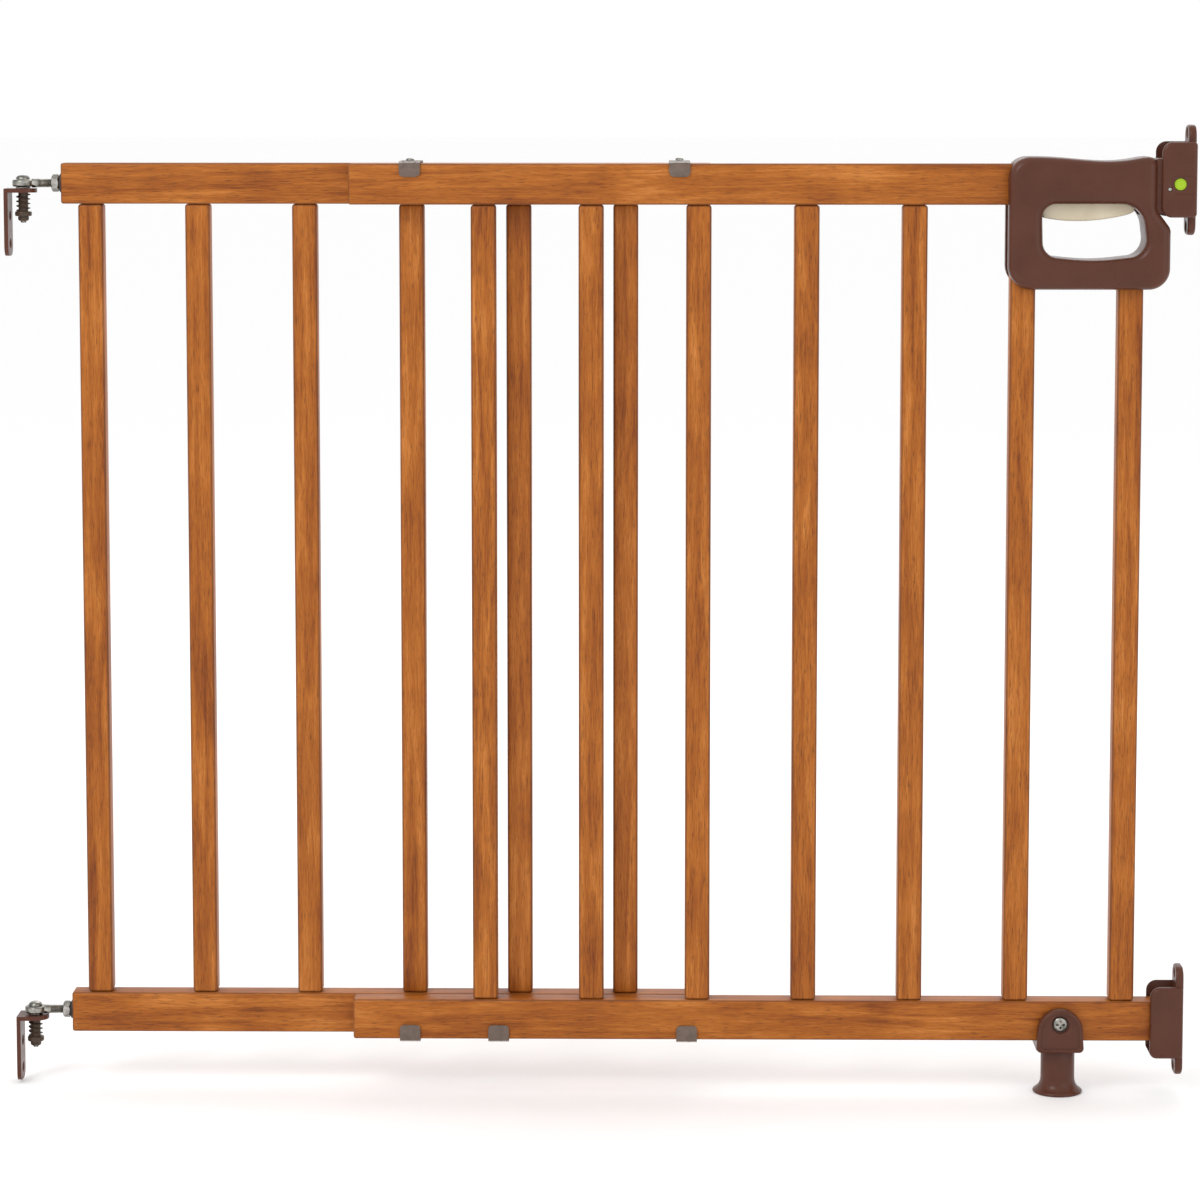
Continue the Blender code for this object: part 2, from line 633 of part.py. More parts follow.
def wall_tabs(bracket, name, low_x, z, middle):
    """The screw plate that stands above and below a bracket, with its two holes."""
    shape = rounded(
        [
            (middle - TAB_HALF, z[0], 9),
            (middle + TAB_HALF, z[0], 9),
            (middle + TAB_HALF, z[1], 9),
            (middle - TAB_HALF, z[1], 9),
        ]
    )
    tabs = plate(f"{name}_tabs", shape, "X", low_x, WALL_X)
    soften(tabs, 0.8, 1, 60)
    for i, height in enumerate((z[0] + 7.2, z[1] - 7.2)):
        combine(tabs, rod(f"{name}_hole_{i}", 2.6, -20, 20, (WALL_X, middle, height), "X", steps=18))
    combine(bracket, tabs, "UNION")


def top_strike():
    """Wall bracket that takes the handle's nose, with its cross pin and lock indicator."""
    back = WALL_X - GAP
    shape = [(STRIKE_X, STRIKE_Z[0], 9), (back, STRIKE_Z[0], 0), (back, STRIKE_Z[1], 0)]
    shape += [(STRIKE_X, STRIKE_Z[1], 9)]
    bracket = plate("strike_bracket", rounded(shape), "Y", *HANDLE_Y, "brown_plastic")
    soften(bracket, 1.2, 1, 60)
    panel = [(487.0, 781.4, 3), (508.0, 781.4, 3), (508.0, 797.4, 3), (487.0, 797.4, 3)]
    combine(bracket, plate("indicator_panel", rounded(panel, 3), "Y", HANDLE_Y[0] - 5, HANDLE_Y[0] + 0.5))
    x, z = DOT_CENTRE
    front = HANDLE_Y[0]
    window = rod("indicator_hole", DOT_RADIUS + GAP, -10, 10, (x, front, z), "Y", steps=18)
    combine(bracket, window)
    pin_at = (LATCH_PIN_X, PANEL_Y, LATCH_PIN_Z)
    combine(bracket, rod("strike_pin_hole", LATCH_PIN_RADIUS + GAP, -40, 40, pin_at, "Y", steps=16))
    inner = (HANDLE_Y[0] + STRIKE_WALL, HANDLE_Y[1] - STRIKE_WALL)
    combine(bracket, box("strike_mouth", (450, 504.5), inner, (740, 850)))
    wall_tabs(bracket, "strike", 504.0, STRIKE_TAB_Z, PANEL_Y)
    pin_half = (HANDLE_Y[1] - HANDLE_Y[0]) / 2 - 0.2
    rod("strike_pin", LATCH_PIN_RADIUS, -pin_half, pin_half, pin_at, "Y", "zinc_steel", steps=16)
    face = [(0, 0.1), (3.4, 0.1), (4.0, -0.3), (4.6, -0.3), (DOT_RADIUS, -0.7)]
    face += [(DOT_RADIUS, -3.1), (0, -3.1)]
    turned("indicator_button", face, (x, front + 0.2, z), "Y", "green_plastic")


def bottom_cup():
    """Wall cup that takes the end of the bottom rail."""
    back = WALL_X - GAP
    shape = [(CUP_X, CUP_Z[0], 5), (back, CUP_Z[0], 0), (back, CUP_Z[1], 0), (CUP_X, CUP_Z[1], 9)]
    cup = plate("cup_bracket", rounded(shape), "Y", *CUP_Y, "brown_plastic")
    soften(cup, 1.2, 1, 60)
    inner = (CUP_Y[0] + CUP_WALL, CUP_Y[1] - CUP_WALL)
    combine(cup, box("cup_mouth", (450, 505), inner, (CUP_Z[0] + CUP_WALL, 120)))
    wall_tabs(cup, "cup", 504.5, CUP_TAB_Z, PANEL_Y)


def foot():
    """Foot cap on the bottom rail, its screw, and the adjustable foot below it."""
    low, shoulder = FOOT_CAP_Z
    face = FRONT_RAIL_Y - GAP
    arch = [(FOOT_X - FOOT_CAP_HALF, low), (FOOT_X + FOOT_CAP_HALF, low)]
    arch += arc((FOOT_X, shoulder), FOOT_CAP_HALF, 0, 180, 18)
    cap = plate("foot_cap", arch, "Y", FOOT_CAP_Y, face, "brown_plastic")
    soften(cap, 1.2, 1, 60)
    half = FOOT_CAP_HALF - FOOT_SHELF_INSET
    shelf = box(
        "foot_shelf",
        (FOOT_X - half, FOOT_X + half),
        (face - 4, PANEL_Y + half),
        (low + FOOT_SHELF_INSET, BOTTOM_RAIL_Z - GAP),
    )
    soften(shelf, 1.0, 1)
    combine(cap, shelf, "UNION")
    combine(cap, rod("foot_socket", FOOT_RADIUS + 0.5, -10, 5.2, (FOOT_X, PANEL_Y, FOOT_TOP), "Z"))
    combine(cap, rod("stud_way", STUD_RADIUS + 0.5, 0, 20, (FOOT_X, PANEL_Y, FOOT_TOP), "Z", steps=16))
    at = (FOOT_X, FOOT_CAP_Y, CAP_SCREW_Z)
    combine(cap, rod("cap_screw_recess", 7.9, -3.4, 3.4, at, "Y", steps=18))
    combine(cap, rod("cap_screw_way", 2.6, -30, 10, at, "Y", steps=16))
    border = FOOT_CAP_HALF - 2.6
    panel = [(FOOT_X - border, low + 3), (FOOT_X + border, low + 3)]
    panel += arc((FOOT_X, shoulder), border, 0, 180, 16)
    combine(cap, plate("cap_panel", panel, "Y", FOOT_CAP_Y - 5, FOOT_CAP_Y + 0.9))
    bottom_rail = bpy.data.objects["front_bottom_rail"]
    combine(bottom_rail, rod("cap_screw_pilot", 2.5, -24, 0, at, "Y", steps=16))
    combine(bottom_rail, rod("stud_hole", STUD_RADIUS + 0.5, 0, 20, (FOOT_X, PANEL_Y, FOOT_TOP), "Z", steps=16))

    head = [(0, -1.0), (3.2, -1.2), (4.8, -2.0), (5.0, -3.1), (2.2, -3.1), (2.2, -20.5), (0, -22)]
    screw = turned("cap_screw", head[::-1], at, "Y", "zinc_steel", steps=18)
    for i, (wide, tall) in enumerate(((0.6, 3.0), (3.0, 0.6))):
        slot = box(
            f"cap_screw_slot_{i}",
            (FOOT_X - wide, FOOT_X + wide),
            (FOOT_CAP_Y - 3, FOOT_CAP_Y + 2.2),
            (CAP_SCREW_Z - tall, CAP_SCREW_Z + tall),
        )
        combine(screw, slot)

    base = [(0, FOOT_TOP), (FOOT_RADIUS - 1, FOOT_TOP), (FOOT_RADIUS, FOOT_TOP - 1)]
    base += [(FOOT_RADIUS, 12.0), (FOOT_RADIUS + 0.9, 8.0), (FOOT_RADIUS + 2.8, 4.6)]
    base += [(FOOT_FLARE - 0.5, 2.4), (FOOT_FLARE, 1.4), (FOOT_FLARE - 0.6, 0), (0, 0)]
    pad = turned("foot_base", base, (FOOT_X, PANEL_Y, 0), "Z", "brown_plastic")
    combine(pad, rod("stud_socket", STUD_RADIUS + GAP, 22, 60, (FOOT_X, PANEL_Y, 0), "Z", steps=16))
    rod("foot_stud", STUD_RADIUS, 22.4, 56, (FOOT_X, PANEL_Y, 0), "Z", "zinc_steel", steps=16)


def shade_round_pieces():
    """Smooth shading everywhere but across real edges."""
    for obj in GATE.objects:
        obj.data.shade_smooth()
        obj.data.set_sharp_from_angle(angle=SMOOTH_ANGLE)


def hang_on_axes():
    """Parent every moving piece to an empty on its joint's axis, leaving it where it is."""
    pieces = list(GATE.objects)
    for name, (centre, starts) in JOINT_AXES.items():
        axis = bpy.data.objects.new(name, None)
        axis.location = [value * MM for value in centre]
        axis.empty_display_size = 10 * MM
        GATE.objects.link(axis)
        for piece in pieces:
            if piece.name.startswith(starts):
                piece.parent = axis
                piece.matrix_parent_inverse = Matrix.Translation(-axis.location)


def main():
    front = [FRONT_BALUSTER_X + BALUSTER_PITCH * i for i in range(FRONT_BALUSTERS)]
    rear = [REAR_BALUSTER_X + BALUSTER_PITCH * i for i in range(REAR_BALUSTERS)]
    rail("rear_top_rail", REAR_RAIL_X, REAR_RAIL_Y, TOP_RAIL_Z, rear, -1)
    rail("rear_bottom_rail", REAR_RAIL_X, REAR_RAIL_Y, BOTTOM_RAIL_Z, rear, 1)
    rail("front_top_rail", FRONT_TOP_RAIL_X, FRONT_RAIL_Y, TOP_RAIL_Z, front[:-1], -1)
    rail("front_bottom_rail", FRONT_BOTTOM_RAIL_X, FRONT_RAIL_Y, BOTTOM_RAIL_Z, front, 1)
    for i, centre in enumerate(rear, 1):
        baluster(f"rear_baluster_{i}", centre, REAR_RAIL_Y)
    for i, centre in enumerate(front, 1):
        top = SHORT_BALUSTER_TOP + GAP if i == FRONT_BALUSTERS else TOP_RAIL_Z
        baluster(f"front_baluster_{i}", centre, FRONT_RAIL_Y, top)
    hinge("top", TOP_HINGE_Z)
    hinge("bottom", BOTTOM_HINGE_Z)
    for name, centre in TOP_CLIPS_X.items():
        clip(name, centre, True, CLIP_TAB, "front_top_rail" if centre < 0 else "rear_top_rail")
    for name, centre in BOTTOM_CLIPS_X.items():
        owner = {"lock_clip": None, "bottom_clip_left": "front_bottom_rail"}.get(name, "rear_bottom_rail")
        clip(name, centre, False, BOTTOM_CLIP_TAB, owner)
    handle()
    latch()
    top_strike()
    bottom_cup()
    foot()
    shade_round_pieces()
    hang_on_axes()


main()
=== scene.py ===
"""Wooden baby gate: stained beech panels, brown moulded fittings, zinc fasteners, steel clips.

Sizes are in millimetres and turned into metres by MM. X runs from the hinge wall to the latch wall,
-Y is the room side, Z is up from the floor.
"""

import json
import math

import bpy
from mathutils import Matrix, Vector


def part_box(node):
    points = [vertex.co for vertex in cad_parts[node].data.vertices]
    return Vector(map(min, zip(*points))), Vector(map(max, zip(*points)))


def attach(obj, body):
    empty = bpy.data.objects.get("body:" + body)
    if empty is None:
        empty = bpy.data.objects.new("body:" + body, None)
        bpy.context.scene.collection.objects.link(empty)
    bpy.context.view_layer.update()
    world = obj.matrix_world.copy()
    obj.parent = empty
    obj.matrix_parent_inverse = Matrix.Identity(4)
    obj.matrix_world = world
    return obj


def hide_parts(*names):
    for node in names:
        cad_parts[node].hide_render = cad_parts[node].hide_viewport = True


MM = 0.001

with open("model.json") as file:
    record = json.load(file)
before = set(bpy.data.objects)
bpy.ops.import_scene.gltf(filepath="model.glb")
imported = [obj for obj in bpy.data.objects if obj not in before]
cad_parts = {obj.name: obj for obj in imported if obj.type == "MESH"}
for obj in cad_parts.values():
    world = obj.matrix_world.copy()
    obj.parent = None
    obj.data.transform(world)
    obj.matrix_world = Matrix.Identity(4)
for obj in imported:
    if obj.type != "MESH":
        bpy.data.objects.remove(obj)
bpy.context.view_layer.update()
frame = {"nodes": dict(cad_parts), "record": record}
RECORD = frame["record"]
BODY_OF = {node: body for body, nodes in RECORD["behaviour"]["bodies"].items() for node in nodes}
SLOT_OF = {entry["node"]: entry["material_slot"] for entry in RECORD["subparts"]}

GAP = 0.3
PANEL_Y = -7.3  # middle plane of the front panel
HINGE_AXIS = (-494.0, 14.9)  # X and Y of the two hinge bolts
WALL_X = 509.0
TAB_X = 502.4  # room side of the screw plates on that wall
LATCH_Y = (-31.3, 16.7)  # front and back faces of the handle and of the bracket it enters
STRIKE_PIN = (485.4, 786.0)  # X and Z of the pin the hook holds


# ---------------------------------------------------------------- modelling by hand


TURN_TO = {"X": (0, math.pi / 2, 0), "Y": (math.pi / 2, 0, 0), "Z": (0, 0, 0)}


def deselect():
    """Leave any mesh and select nothing."""
    if bpy.context.mode != "OBJECT":
        bpy.ops.object.mode_set(mode="OBJECT")
    bpy.ops.object.select_all(action="DESELECT")


def take(obj):
    """Make one piece the only selected one."""
    deselect()
    obj.select_set(True)
    bpy.context.view_layer.objects.active = obj


def settle(obj):
    """Put a piece's place, turn and size into its mesh."""
    take(obj)
    bpy.ops.object.transform_apply(location=True, rotation=True, scale=True)
    return obj


def block(name, x, y, z):
    """A box between two faces on each axis."""
    deselect()
    low = Vector((x[0], y[0], z[0])) * MM
    high = Vector((x[1], y[1], z[1])) * MM
    bpy.ops.mesh.primitive_cube_add(size=1, location=(low + high) / 2, scale=high - low)
    obj = bpy.context.object
    obj.name = name
    return settle(obj)


def cylinder(name, radius, low, high, centre, axis="Z", sides=40):
    """A round bar between two heights along an axis through the centre."""
    deselect()
    way = "XYZ".index(axis)
    place = Vector(centre) * MM
    place[way] += (low + high) / 2 * MM
    bpy.ops.mesh.primitive_cylinder_add(
        vertices=sides,
        radius=radius * MM,
        depth=(high - low) * MM,
        location=place,
        rotation=TURN_TO[axis],
    )
    obj = bpy.context.object
    obj.name = name
    return settle(obj)


def apply_step(obj, kind, **values):
    """Add one modifier, set it and apply it."""
    take(obj)
    step = obj.modifiers.new(kind.lower(), kind)
    for key, value in values.items():
        setattr(step, key, value)
    bpy.ops.object.modifier_apply(modifier=step.name)
    return obj


def round_edges(obj, width, segments=3, angle=40):
    """Round every edge that turns by more than the angle."""
    return apply_step(
        obj,
        "BEVEL",
        width=width * MM,
        segments=segments,
        limit_method="ANGLE",
        angle_limit=math.radians(angle),
    )


def shape_with(obj, tool, operation="DIFFERENCE"):
    """Cut, join or trim with a tool that is then thrown away."""
    apply_step(obj, "BOOLEAN", operation=operation, object=tool, solver="EXACT")
    bpy.data.objects.remove(tool, do_unlink=True)
    return obj


def open_mesh(obj, element="VERT", action="DESELECT"):
    """Go into a piece's mesh with everything or nothing selected."""
    take(obj)
    bpy.ops.object.mode_set(mode="EDIT")
    bpy.ops.mesh.select_mode(type=element)
    bpy.ops.mesh.select_all(action=action)


def pick(obj, element, test):
    """In edit mode, select the vertices or edges whose points pass the test (millimetres)."""
    open_mesh(obj, element)
    bpy.ops.object.mode_set(mode="OBJECT")
    points = [vertex.co / MM for vertex in obj.data.vertices]
    if element == "VERT":
        for vertex, point in zip(obj.data.vertices, points):
            vertex.select = test(point)
    else:
        for edge in obj.data.edges:
            edge.select = test(*[points[i] for i in edge.vertices])
    bpy.ops.object.mode_set(mode="EDIT")


def done(obj):
    """Leave the mesh."""
    bpy.ops.object.mode_set(mode="OBJECT")
    return obj


def face_out(obj):
    """Merge touching points and turn every face outwards."""
    open_mesh(obj, action="SELECT")
    bpy.ops.mesh.remove_doubles(threshold=0.01 * MM)
    bpy.ops.mesh.normals_make_consistent(inside=False)
    return done(obj)


def smooth(obj, angle=35):
    """Shade softly across edges that turn by less than the angle."""
    take(obj)
    bpy.ops.object.shade_smooth_by_angle(angle=math.radians(angle))
    return obj


def lathe(name, profile, centre, axis="Z", sides=48, ring=False):
    """A turned piece: a circle drawn out and resized at each (radius, height) of its outline."""
    deselect()
    radius, height = profile[0]
    bpy.ops.mesh.primitive_circle_add(
        vertices=sides, radius=radius * MM, location=(0, 0, height * MM)
    )
    obj = bpy.context.object
    obj.name = name
    settle(obj)
    open_mesh(obj, "EDGE", "SELECT")
    if not ring:
        bpy.ops.mesh.edge_face_add()
        bpy.ops.mesh.inset(thickness=min(0.4, radius * 0.3) * MM)
        rim = radius - 0.01
        pick(obj, "EDGE", lambda a, b: min(a.xy.length, b.xy.length) > rim)
    for next_radius, next_height in profile[1:]:
        move = {"value": (0, 0, (next_height - height) * MM)}
        bpy.ops.mesh.extrude_edges_move(TRANSFORM_OT_translate=move)
        grow = next_radius / radius
        bpy.ops.transform.resize(value=(grow, grow, 1), center_override=(0, 0, next_height * MM))
        radius, height = next_radius, next_height
    if not ring:
        bpy.ops.mesh.edge_face_add()
    done(obj)
    face_out(obj)
    obj.rotation_euler = TURN_TO[axis]
    obj.location = Vector(centre) * MM
    return settle(obj)


def join(obj, other):
    """Make one piece of two closed forms."""
    take(obj)
    other.select_set(True)
    bpy.ops.object.join()
    return obj


def bent_sheet(name, x, y, height):
    """The flat part of a bent sheet, ready for its edges to be drawn out."""
    deselect()
    middle = ((x[0] + x[1]) / 2, (y[0] + y[1]) / 2, height)
    bpy.ops.mesh.primitive_plane_add(size=1, location=Vector(middle) * MM)
    sheet = bpy.context.object
    sheet.name = name
    sheet.scale = Vector((x[1] - x[0], y[1] - y[0], 1)) * MM
    return settle(sheet)


def bend_edge(sheet, test, drop):
    """Draw the picked edges out at a right angle."""
    pick(sheet, "EDGE", test)
    bpy.ops.mesh.extrude_edges_move(TRANSFORM_OT_translate={"value": (0, 0, drop * MM)})
    return done(sheet)


def round_corners(sheet, test, radius, steps):
    """Round the picked corners of a sheet in its own plane."""
    pick(sheet, "VERT", test)
    bpy.ops.mesh.bevel(affect="VERTICES", offset=radius * MM, segments=steps)
    return done(sheet)


def thicken(sheet, thickness, upward=True):
    """Give a bent sheet its thickness on the inner side of its bends."""
    face_out(sheet)
    flat = next(face for face in sheet.data.polygons if abs(face.normal.z) > 0.9)
    if (flat.normal.z > 0) != upward:
        sheet.data.flip_normals()
    return apply_step(
        sheet, "SOLIDIFY", thickness=thickness * MM, offset=-1, use_even_offset=True
    )


def slab(name, outline, axis, low, high):
    """A flat outline given thickness: (X, Y) for a Z slab, (X, Z) for Y, (Y, Z) for X."""
    deselect()
    bpy.ops.mesh.primitive_circle_add(vertices=len(outline), radius=1, fill_type="NGON")
    obj = bpy.context.object
    obj.name = name
    ways = {"Z": (0, 1, 2), "Y": (0, 2, 1), "X": (1, 2, 0)}[axis]
    loop = obj.data.polygons[0].vertices
    for index, (u, v) in zip(loop, outline):
        place = [0.0, 0.0, 0.0]
        place[ways[0]] = u * MM
        place[ways[1]] = v * MM
        place[ways[2]] = low * MM
        obj.data.vertices[index].co = place
    bpy.ops.object.mode_set(mode="EDIT")
    bpy.ops.mesh.select_all(action="SELECT")
    rise = [0.0, 0.0, 0.0]
    rise[ways[2]] = (high - low) * MM
    bpy.ops.mesh.extrude_region_move(TRANSFORM_OT_translate={"value": rise})
    done(obj)
    return face_out(obj)


def arc(centre, radius, start, end, steps):
    """Points along an arc between two angles in degrees."""
    angles = [math.radians(start + (end - start) * i / steps) for i in range(steps + 1)]
    return [(centre[0] + radius * math.cos(a), centre[1] + radius * math.sin(a)) for a in angles]


def rounded(corners, steps=10):
    """A closed outline whose (u, v, radius) corners become tangent arcs."""
    points = []
    for i, (u, v, radius) in enumerate(corners):
        if radius == 0:
            points.append((u, v))
            continue
        here = Vector((u, v))
        back = (Vector(corners[i - 1][:2]) - here).normalized()
        ahead = (Vector(corners[(i + 1) % len(corners)][:2]) - here).normalized()
        half = back.angle(ahead) / 2
        centre = here + (back + ahead).normalized() * radius / math.sin(half)
        first = here + back * radius / math.tan(half) - centre
        last = here + ahead * radius / math.tan(half) - centre
        start = math.atan2(first.y, first.x)
        sweep = math.remainder(math.atan2(last.y, last.x) - start, math.tau)
        for k in range(steps + 1):
            angle = start + sweep * k / steps
            across, up = radius * math.cos(angle), radius * math.sin(angle)
            points.append((centre.x + across, centre.y + up))
    return points


def show(obj, node, material, name):
    """Finish a piece: name, material, the body it rides on and the node it stands for."""
    obj.name = name
    obj.data.name = name
    obj.data.materials.clear()
    obj.data.materials.append(material)
    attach(obj, BODY_OF[node])
    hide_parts(node)
    return obj


def limits(node):
    """A node's low and high corners in millimetres."""
    low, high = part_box(node)
    return [value / MM for value in low], [value / MM for value in high]


# ---------------------------------------------------------------- finishes


class Finish:
    """A Principled material with short ways to add and join nodes."""

    def __init__(self, name):
        self.material = bpy.data.materials.new(name)
        self.material.use_nodes = True
        self.nodes = self.material.node_tree.nodes
        self.links = self.material.node_tree.links
        self.shader = self.nodes["Principled BSDF"]
        self.coords = self.nodes.new("ShaderNodeTexCoord")

    def set(self, **values):
        """Set the shader's own inputs by name, with _ for a space."""
        for key, value in values.items():
            self.shader.inputs[key.replace("_", " ")].default_value = value

    def join(self, source, target):
        self.links.new(source, target)

    def stretched(self, scale):
        """Object coordinates, drawn out where the scale is small."""
        node = self.nodes.new("ShaderNodeMapping")
        node.inputs["Scale"].default_value = scale
        self.join(self.coords.outputs["Object"], node.inputs["Vector"])
        return node.outputs["Vector"]

    def noise(self, vector, scale, detail=4.0, roughness=0.55, distortion=0.0):
        node = self.nodes.new("ShaderNodeTexNoise")
        node.inputs["Scale"].default_value = scale
        node.inputs["Detail"].default_value = detail
        node.inputs["Roughness"].default_value = roughness
        node.inputs["Distortion"].default_value = distortion
        self.join(vector, node.inputs["Vector"])
        return node.outputs["Fac"]

    def ramp(self, value, *stops):
        """Colours by (place, colour) stops."""
        node = self.nodes.new("ShaderNodeValToRGB")
        node.color_ramp.elements[0].position = stops[0][0]
        node.color_ramp.elements[0].color = (*stops[0][1], 1)
        node.color_ramp.elements[1].position = stops[-1][0]
        node.color_ramp.elements[1].color = (*stops[-1][1], 1)
        for place, colour in stops[1:-1]:
            node.color_ramp.elements.new(place).color = (*colour, 1)
        self.join(value, node.inputs["Fac"])
        return node.outputs["Color"]

    def level(self, value, low, high, out_low, out_high):
        """Stretch low..high to out_low..out_high."""
        node = self.nodes.new("ShaderNodeMapRange")
        names = ("From Min", "From Max", "To Min", "To Max")
        for name, number in zip(names, (low, high, out_low, out_high)):
            node.inputs[name].default_value = number
        self.join(value, node.inputs["Value"])
        return node.outputs["Result"]

    def blend(self, amount, first, second, mode="MIX"):
        """Go from the first colour to the second."""
        node = self.nodes.new("ShaderNodeMix")
        node.data_type = "RGBA"
        node.blend_type = mode
        for number, source in ((0, amount), (6, first), (7, second)):
            self.put(source, node.inputs[number])
        return node.outputs[2]

    def put(self, source, target):
        """Feed an input from another node's output, a colour or a number."""
        if isinstance(source, bpy.types.NodeSocket):
            self.join(source, target)
        elif isinstance(source, tuple):
            target.default_value = (*source, 1)
        else:
            target.default_value = source

    def math(self, operation, first, second=0.0):
        node = self.nodes.new("ShaderNodeMath")
        node.operation = operation
        for target, source in zip(node.inputs, (first, second)):
            self.put(source, target)
        return node.outputs[0]

    def edges(self, low=0.04, high=0.25):
        """One on rounded edges and zero on the flat faces of a square piece."""
        split = self.nodes.new("ShaderNodeSeparateXYZ")
        self.join(self.coords.outputs["Normal"], split.inputs[0])
        parts = [self.math("ABSOLUTE", split.outputs[i]) for i in range(3)]
        largest = self.math("MAXIMUM", self.math("MAXIMUM", parts[0], parts[1]), parts[2])
        return self.level(largest, 1 - low, 1 - high, 0.0, 1.0)

    def bump(self, height, strength, distance):
        """Shallow relief, its depth in millimetres."""
        node = self.nodes.new("ShaderNodeBump")
        node.inputs["Strength"].default_value = strength
        node.inputs["Distance"].default_value = distance * MM
        self.join(height, node.inputs["Height"])
        self.join(node.outputs["Normal"], self.shader.inputs["Normal"])


def stained_wood(name, scale_along):
    """Honey-brown stained beech: long fibres, soft bands, dark flecks, painted shade on the rounded
    edges.
    """
    wood = Finish(name)
    wood.set(Coat_Weight=0.03, Coat_Roughness=0.3, Specular_IOR_Level=0.22)
    along = wood.stretched(scale_along)
    bands = wood.noise(along, 120, 4, 0.55, 0.9)
    fibres = wood.noise(along, 760, 7, 0.72, 0.35)
    flecks = wood.noise(along, 1700, 3, 0.5)
    patches = wood.noise(wood.stretched((1, 1, 1)), 11, 2)
    broad = wood.math("MULTIPLY", bands, 0.55)
    mixed = wood.math("ADD", broad, wood.math("MULTIPLY", fibres, 0.45))
    uneven = wood.math("MULTIPLY", wood.math("SUBTRACT", patches, 0.5), 0.30)
    mixed = wood.math("ADD", mixed, uneven)
    colour = wood.ramp(
        mixed,
        (0.33, (0.165, 0.036, 0.003)),
        (0.44, (0.285, 0.076, 0.007)),
        (0.54, (0.375, 0.112, 0.012)),
        (0.68, (0.520, 0.185, 0.036)),
    )
    dark = wood.level(flecks, 0.56, 0.68, 0.0, 0.62)
    colour = wood.blend(dark, colour, (0.075, 0.020, 0.005))
    # Painted shade: the rounded edges are darkened towards a deep brown, as if in shadow.
    edge_shade = wood.math("MULTIPLY", wood.edges(), 0.62)
    colour = wood.blend(edge_shade, colour, (0.085, 0.040, 0.024))
    wood.join(colour, wood.shader.inputs["Base Color"])
    wood.join(wood.level(fibres, 0.3, 0.7, 0.36, 0.52), wood.shader.inputs["Roughness"])
    relief = wood.math("SUBTRACT", fibres, wood.math("MULTIPLY", dark, 0.7))
    wood.bump(relief, 0.22, 0.25)
    return wood.material


def moulded(name, dark, light, roughness):
    """Satin moulded plastic: faint mottling, fine spark grain and a painted highlight on the
    rounded edges.
    """
    plastic = Finish(name)
    plastic.set(Specular_IOR_Level=0.26)
    even = plastic.stretched((1, 1, 1))
    mottle = plastic.noise(even, 34, 4)
    fine = plastic.noise(even, 1400, 3)
    colour = plastic.ramp(mottle, (0.32, dark), (0.68, light))
    # Painted highlight: the rounded edges are lightened towards a paler tone of the plastic.
    edge_highlight = plastic.math("MULTIPLY", plastic.edges(0.05, 0.4), 0.20)
    colour = plastic.blend(edge_highlight, colour, tuple(min(1.0, value * 1.7) for value in light))
    plastic.join(colour, plastic.shader.inputs["Base Color"])
    wear = plastic.noise(even, 85, 5)
    plastic.join(plastic.level(wear, 0.3, 0.7, *roughness), plastic.shader.inputs["Roughness"])
    plastic.bump(fine, 0.10, 0.08)
    return plastic.material


def plated_steel(name):
    """Bright zinc plating with cloudy roughness and fine drawn marks."""
    steel = Finish(name)
    steel.set(Metallic=1.0)
    even = steel.stretched((1, 1, 1))
    cloud = steel.noise(even, 160, 5)
    colour = steel.ramp(
        cloud,
        (0.3, (0.16, 0.155, 0.14)),
        (0.5, (0.36, 0.35, 0.32)),
        (0.7, (0.60, 0.58, 0.53)),
    )
    # Painted shade: the colour is multiplied down to about half on rounded edges, as if in shadow.
    edge_shade = steel.ramp(
        steel.edges(0.02, 0.2),
        (0.0, (1.0, 1.0, 1.0)),
        (1.0, (0.55, 0.54, 0.52)),
    )
    colour = steel.blend(1.0, colour, edge_shade, "MULTIPLY")
    steel.join(colour, steel.shader.inputs["Base Color"])
    steel.join(steel.level(cloud, 0.3, 0.7, 0.36, 0.20), steel.shader.inputs["Roughness"])
    steel.bump(steel.noise(steel.stretched((1, 1, 9)), 900, 3), 0.12, 0.05)
    return steel.material


def painted_steel(name):
    """Grey-brown baked paint, with a painted highlight of bright steel colour along the bends and
    corners.
    """
    paint = Finish(name)
    even = paint.stretched((1, 1, 1))
    mottle = paint.noise(even, 150, 4)
    colour = paint.ramp(mottle, (0.3, (0.095, 0.064, 0.048)), (0.7, (0.145, 0.100, 0.078)))
    # Painted highlight: in patches along the bends and corners, the paint turns to a bright,
    # metallic steel colour.
    highlight_breakup = paint.noise(even, 420, 5)
    patchy = paint.level(highlight_breakup, 0.36, 0.50, 0.15, 1.0)
    painted_edge_highlight = paint.math("MULTIPLY", paint.edges(0.12, 0.24), patchy)
    colour = paint.blend(painted_edge_highlight, colour, (0.66, 0.65, 0.62))
    paint.join(colour, paint.shader.inputs["Base Color"])
    paint.join(paint.math("MULTIPLY", painted_edge_highlight, 0.95), paint.shader.inputs["Metallic"])
    paint.join(paint.level(mottle, 0.3, 0.7, 0.36, 0.50), paint.shader.inputs["Roughness"])
    paint.bump(paint.noise(even, 1100, 3), 0.12, 0.08)
    return paint.material


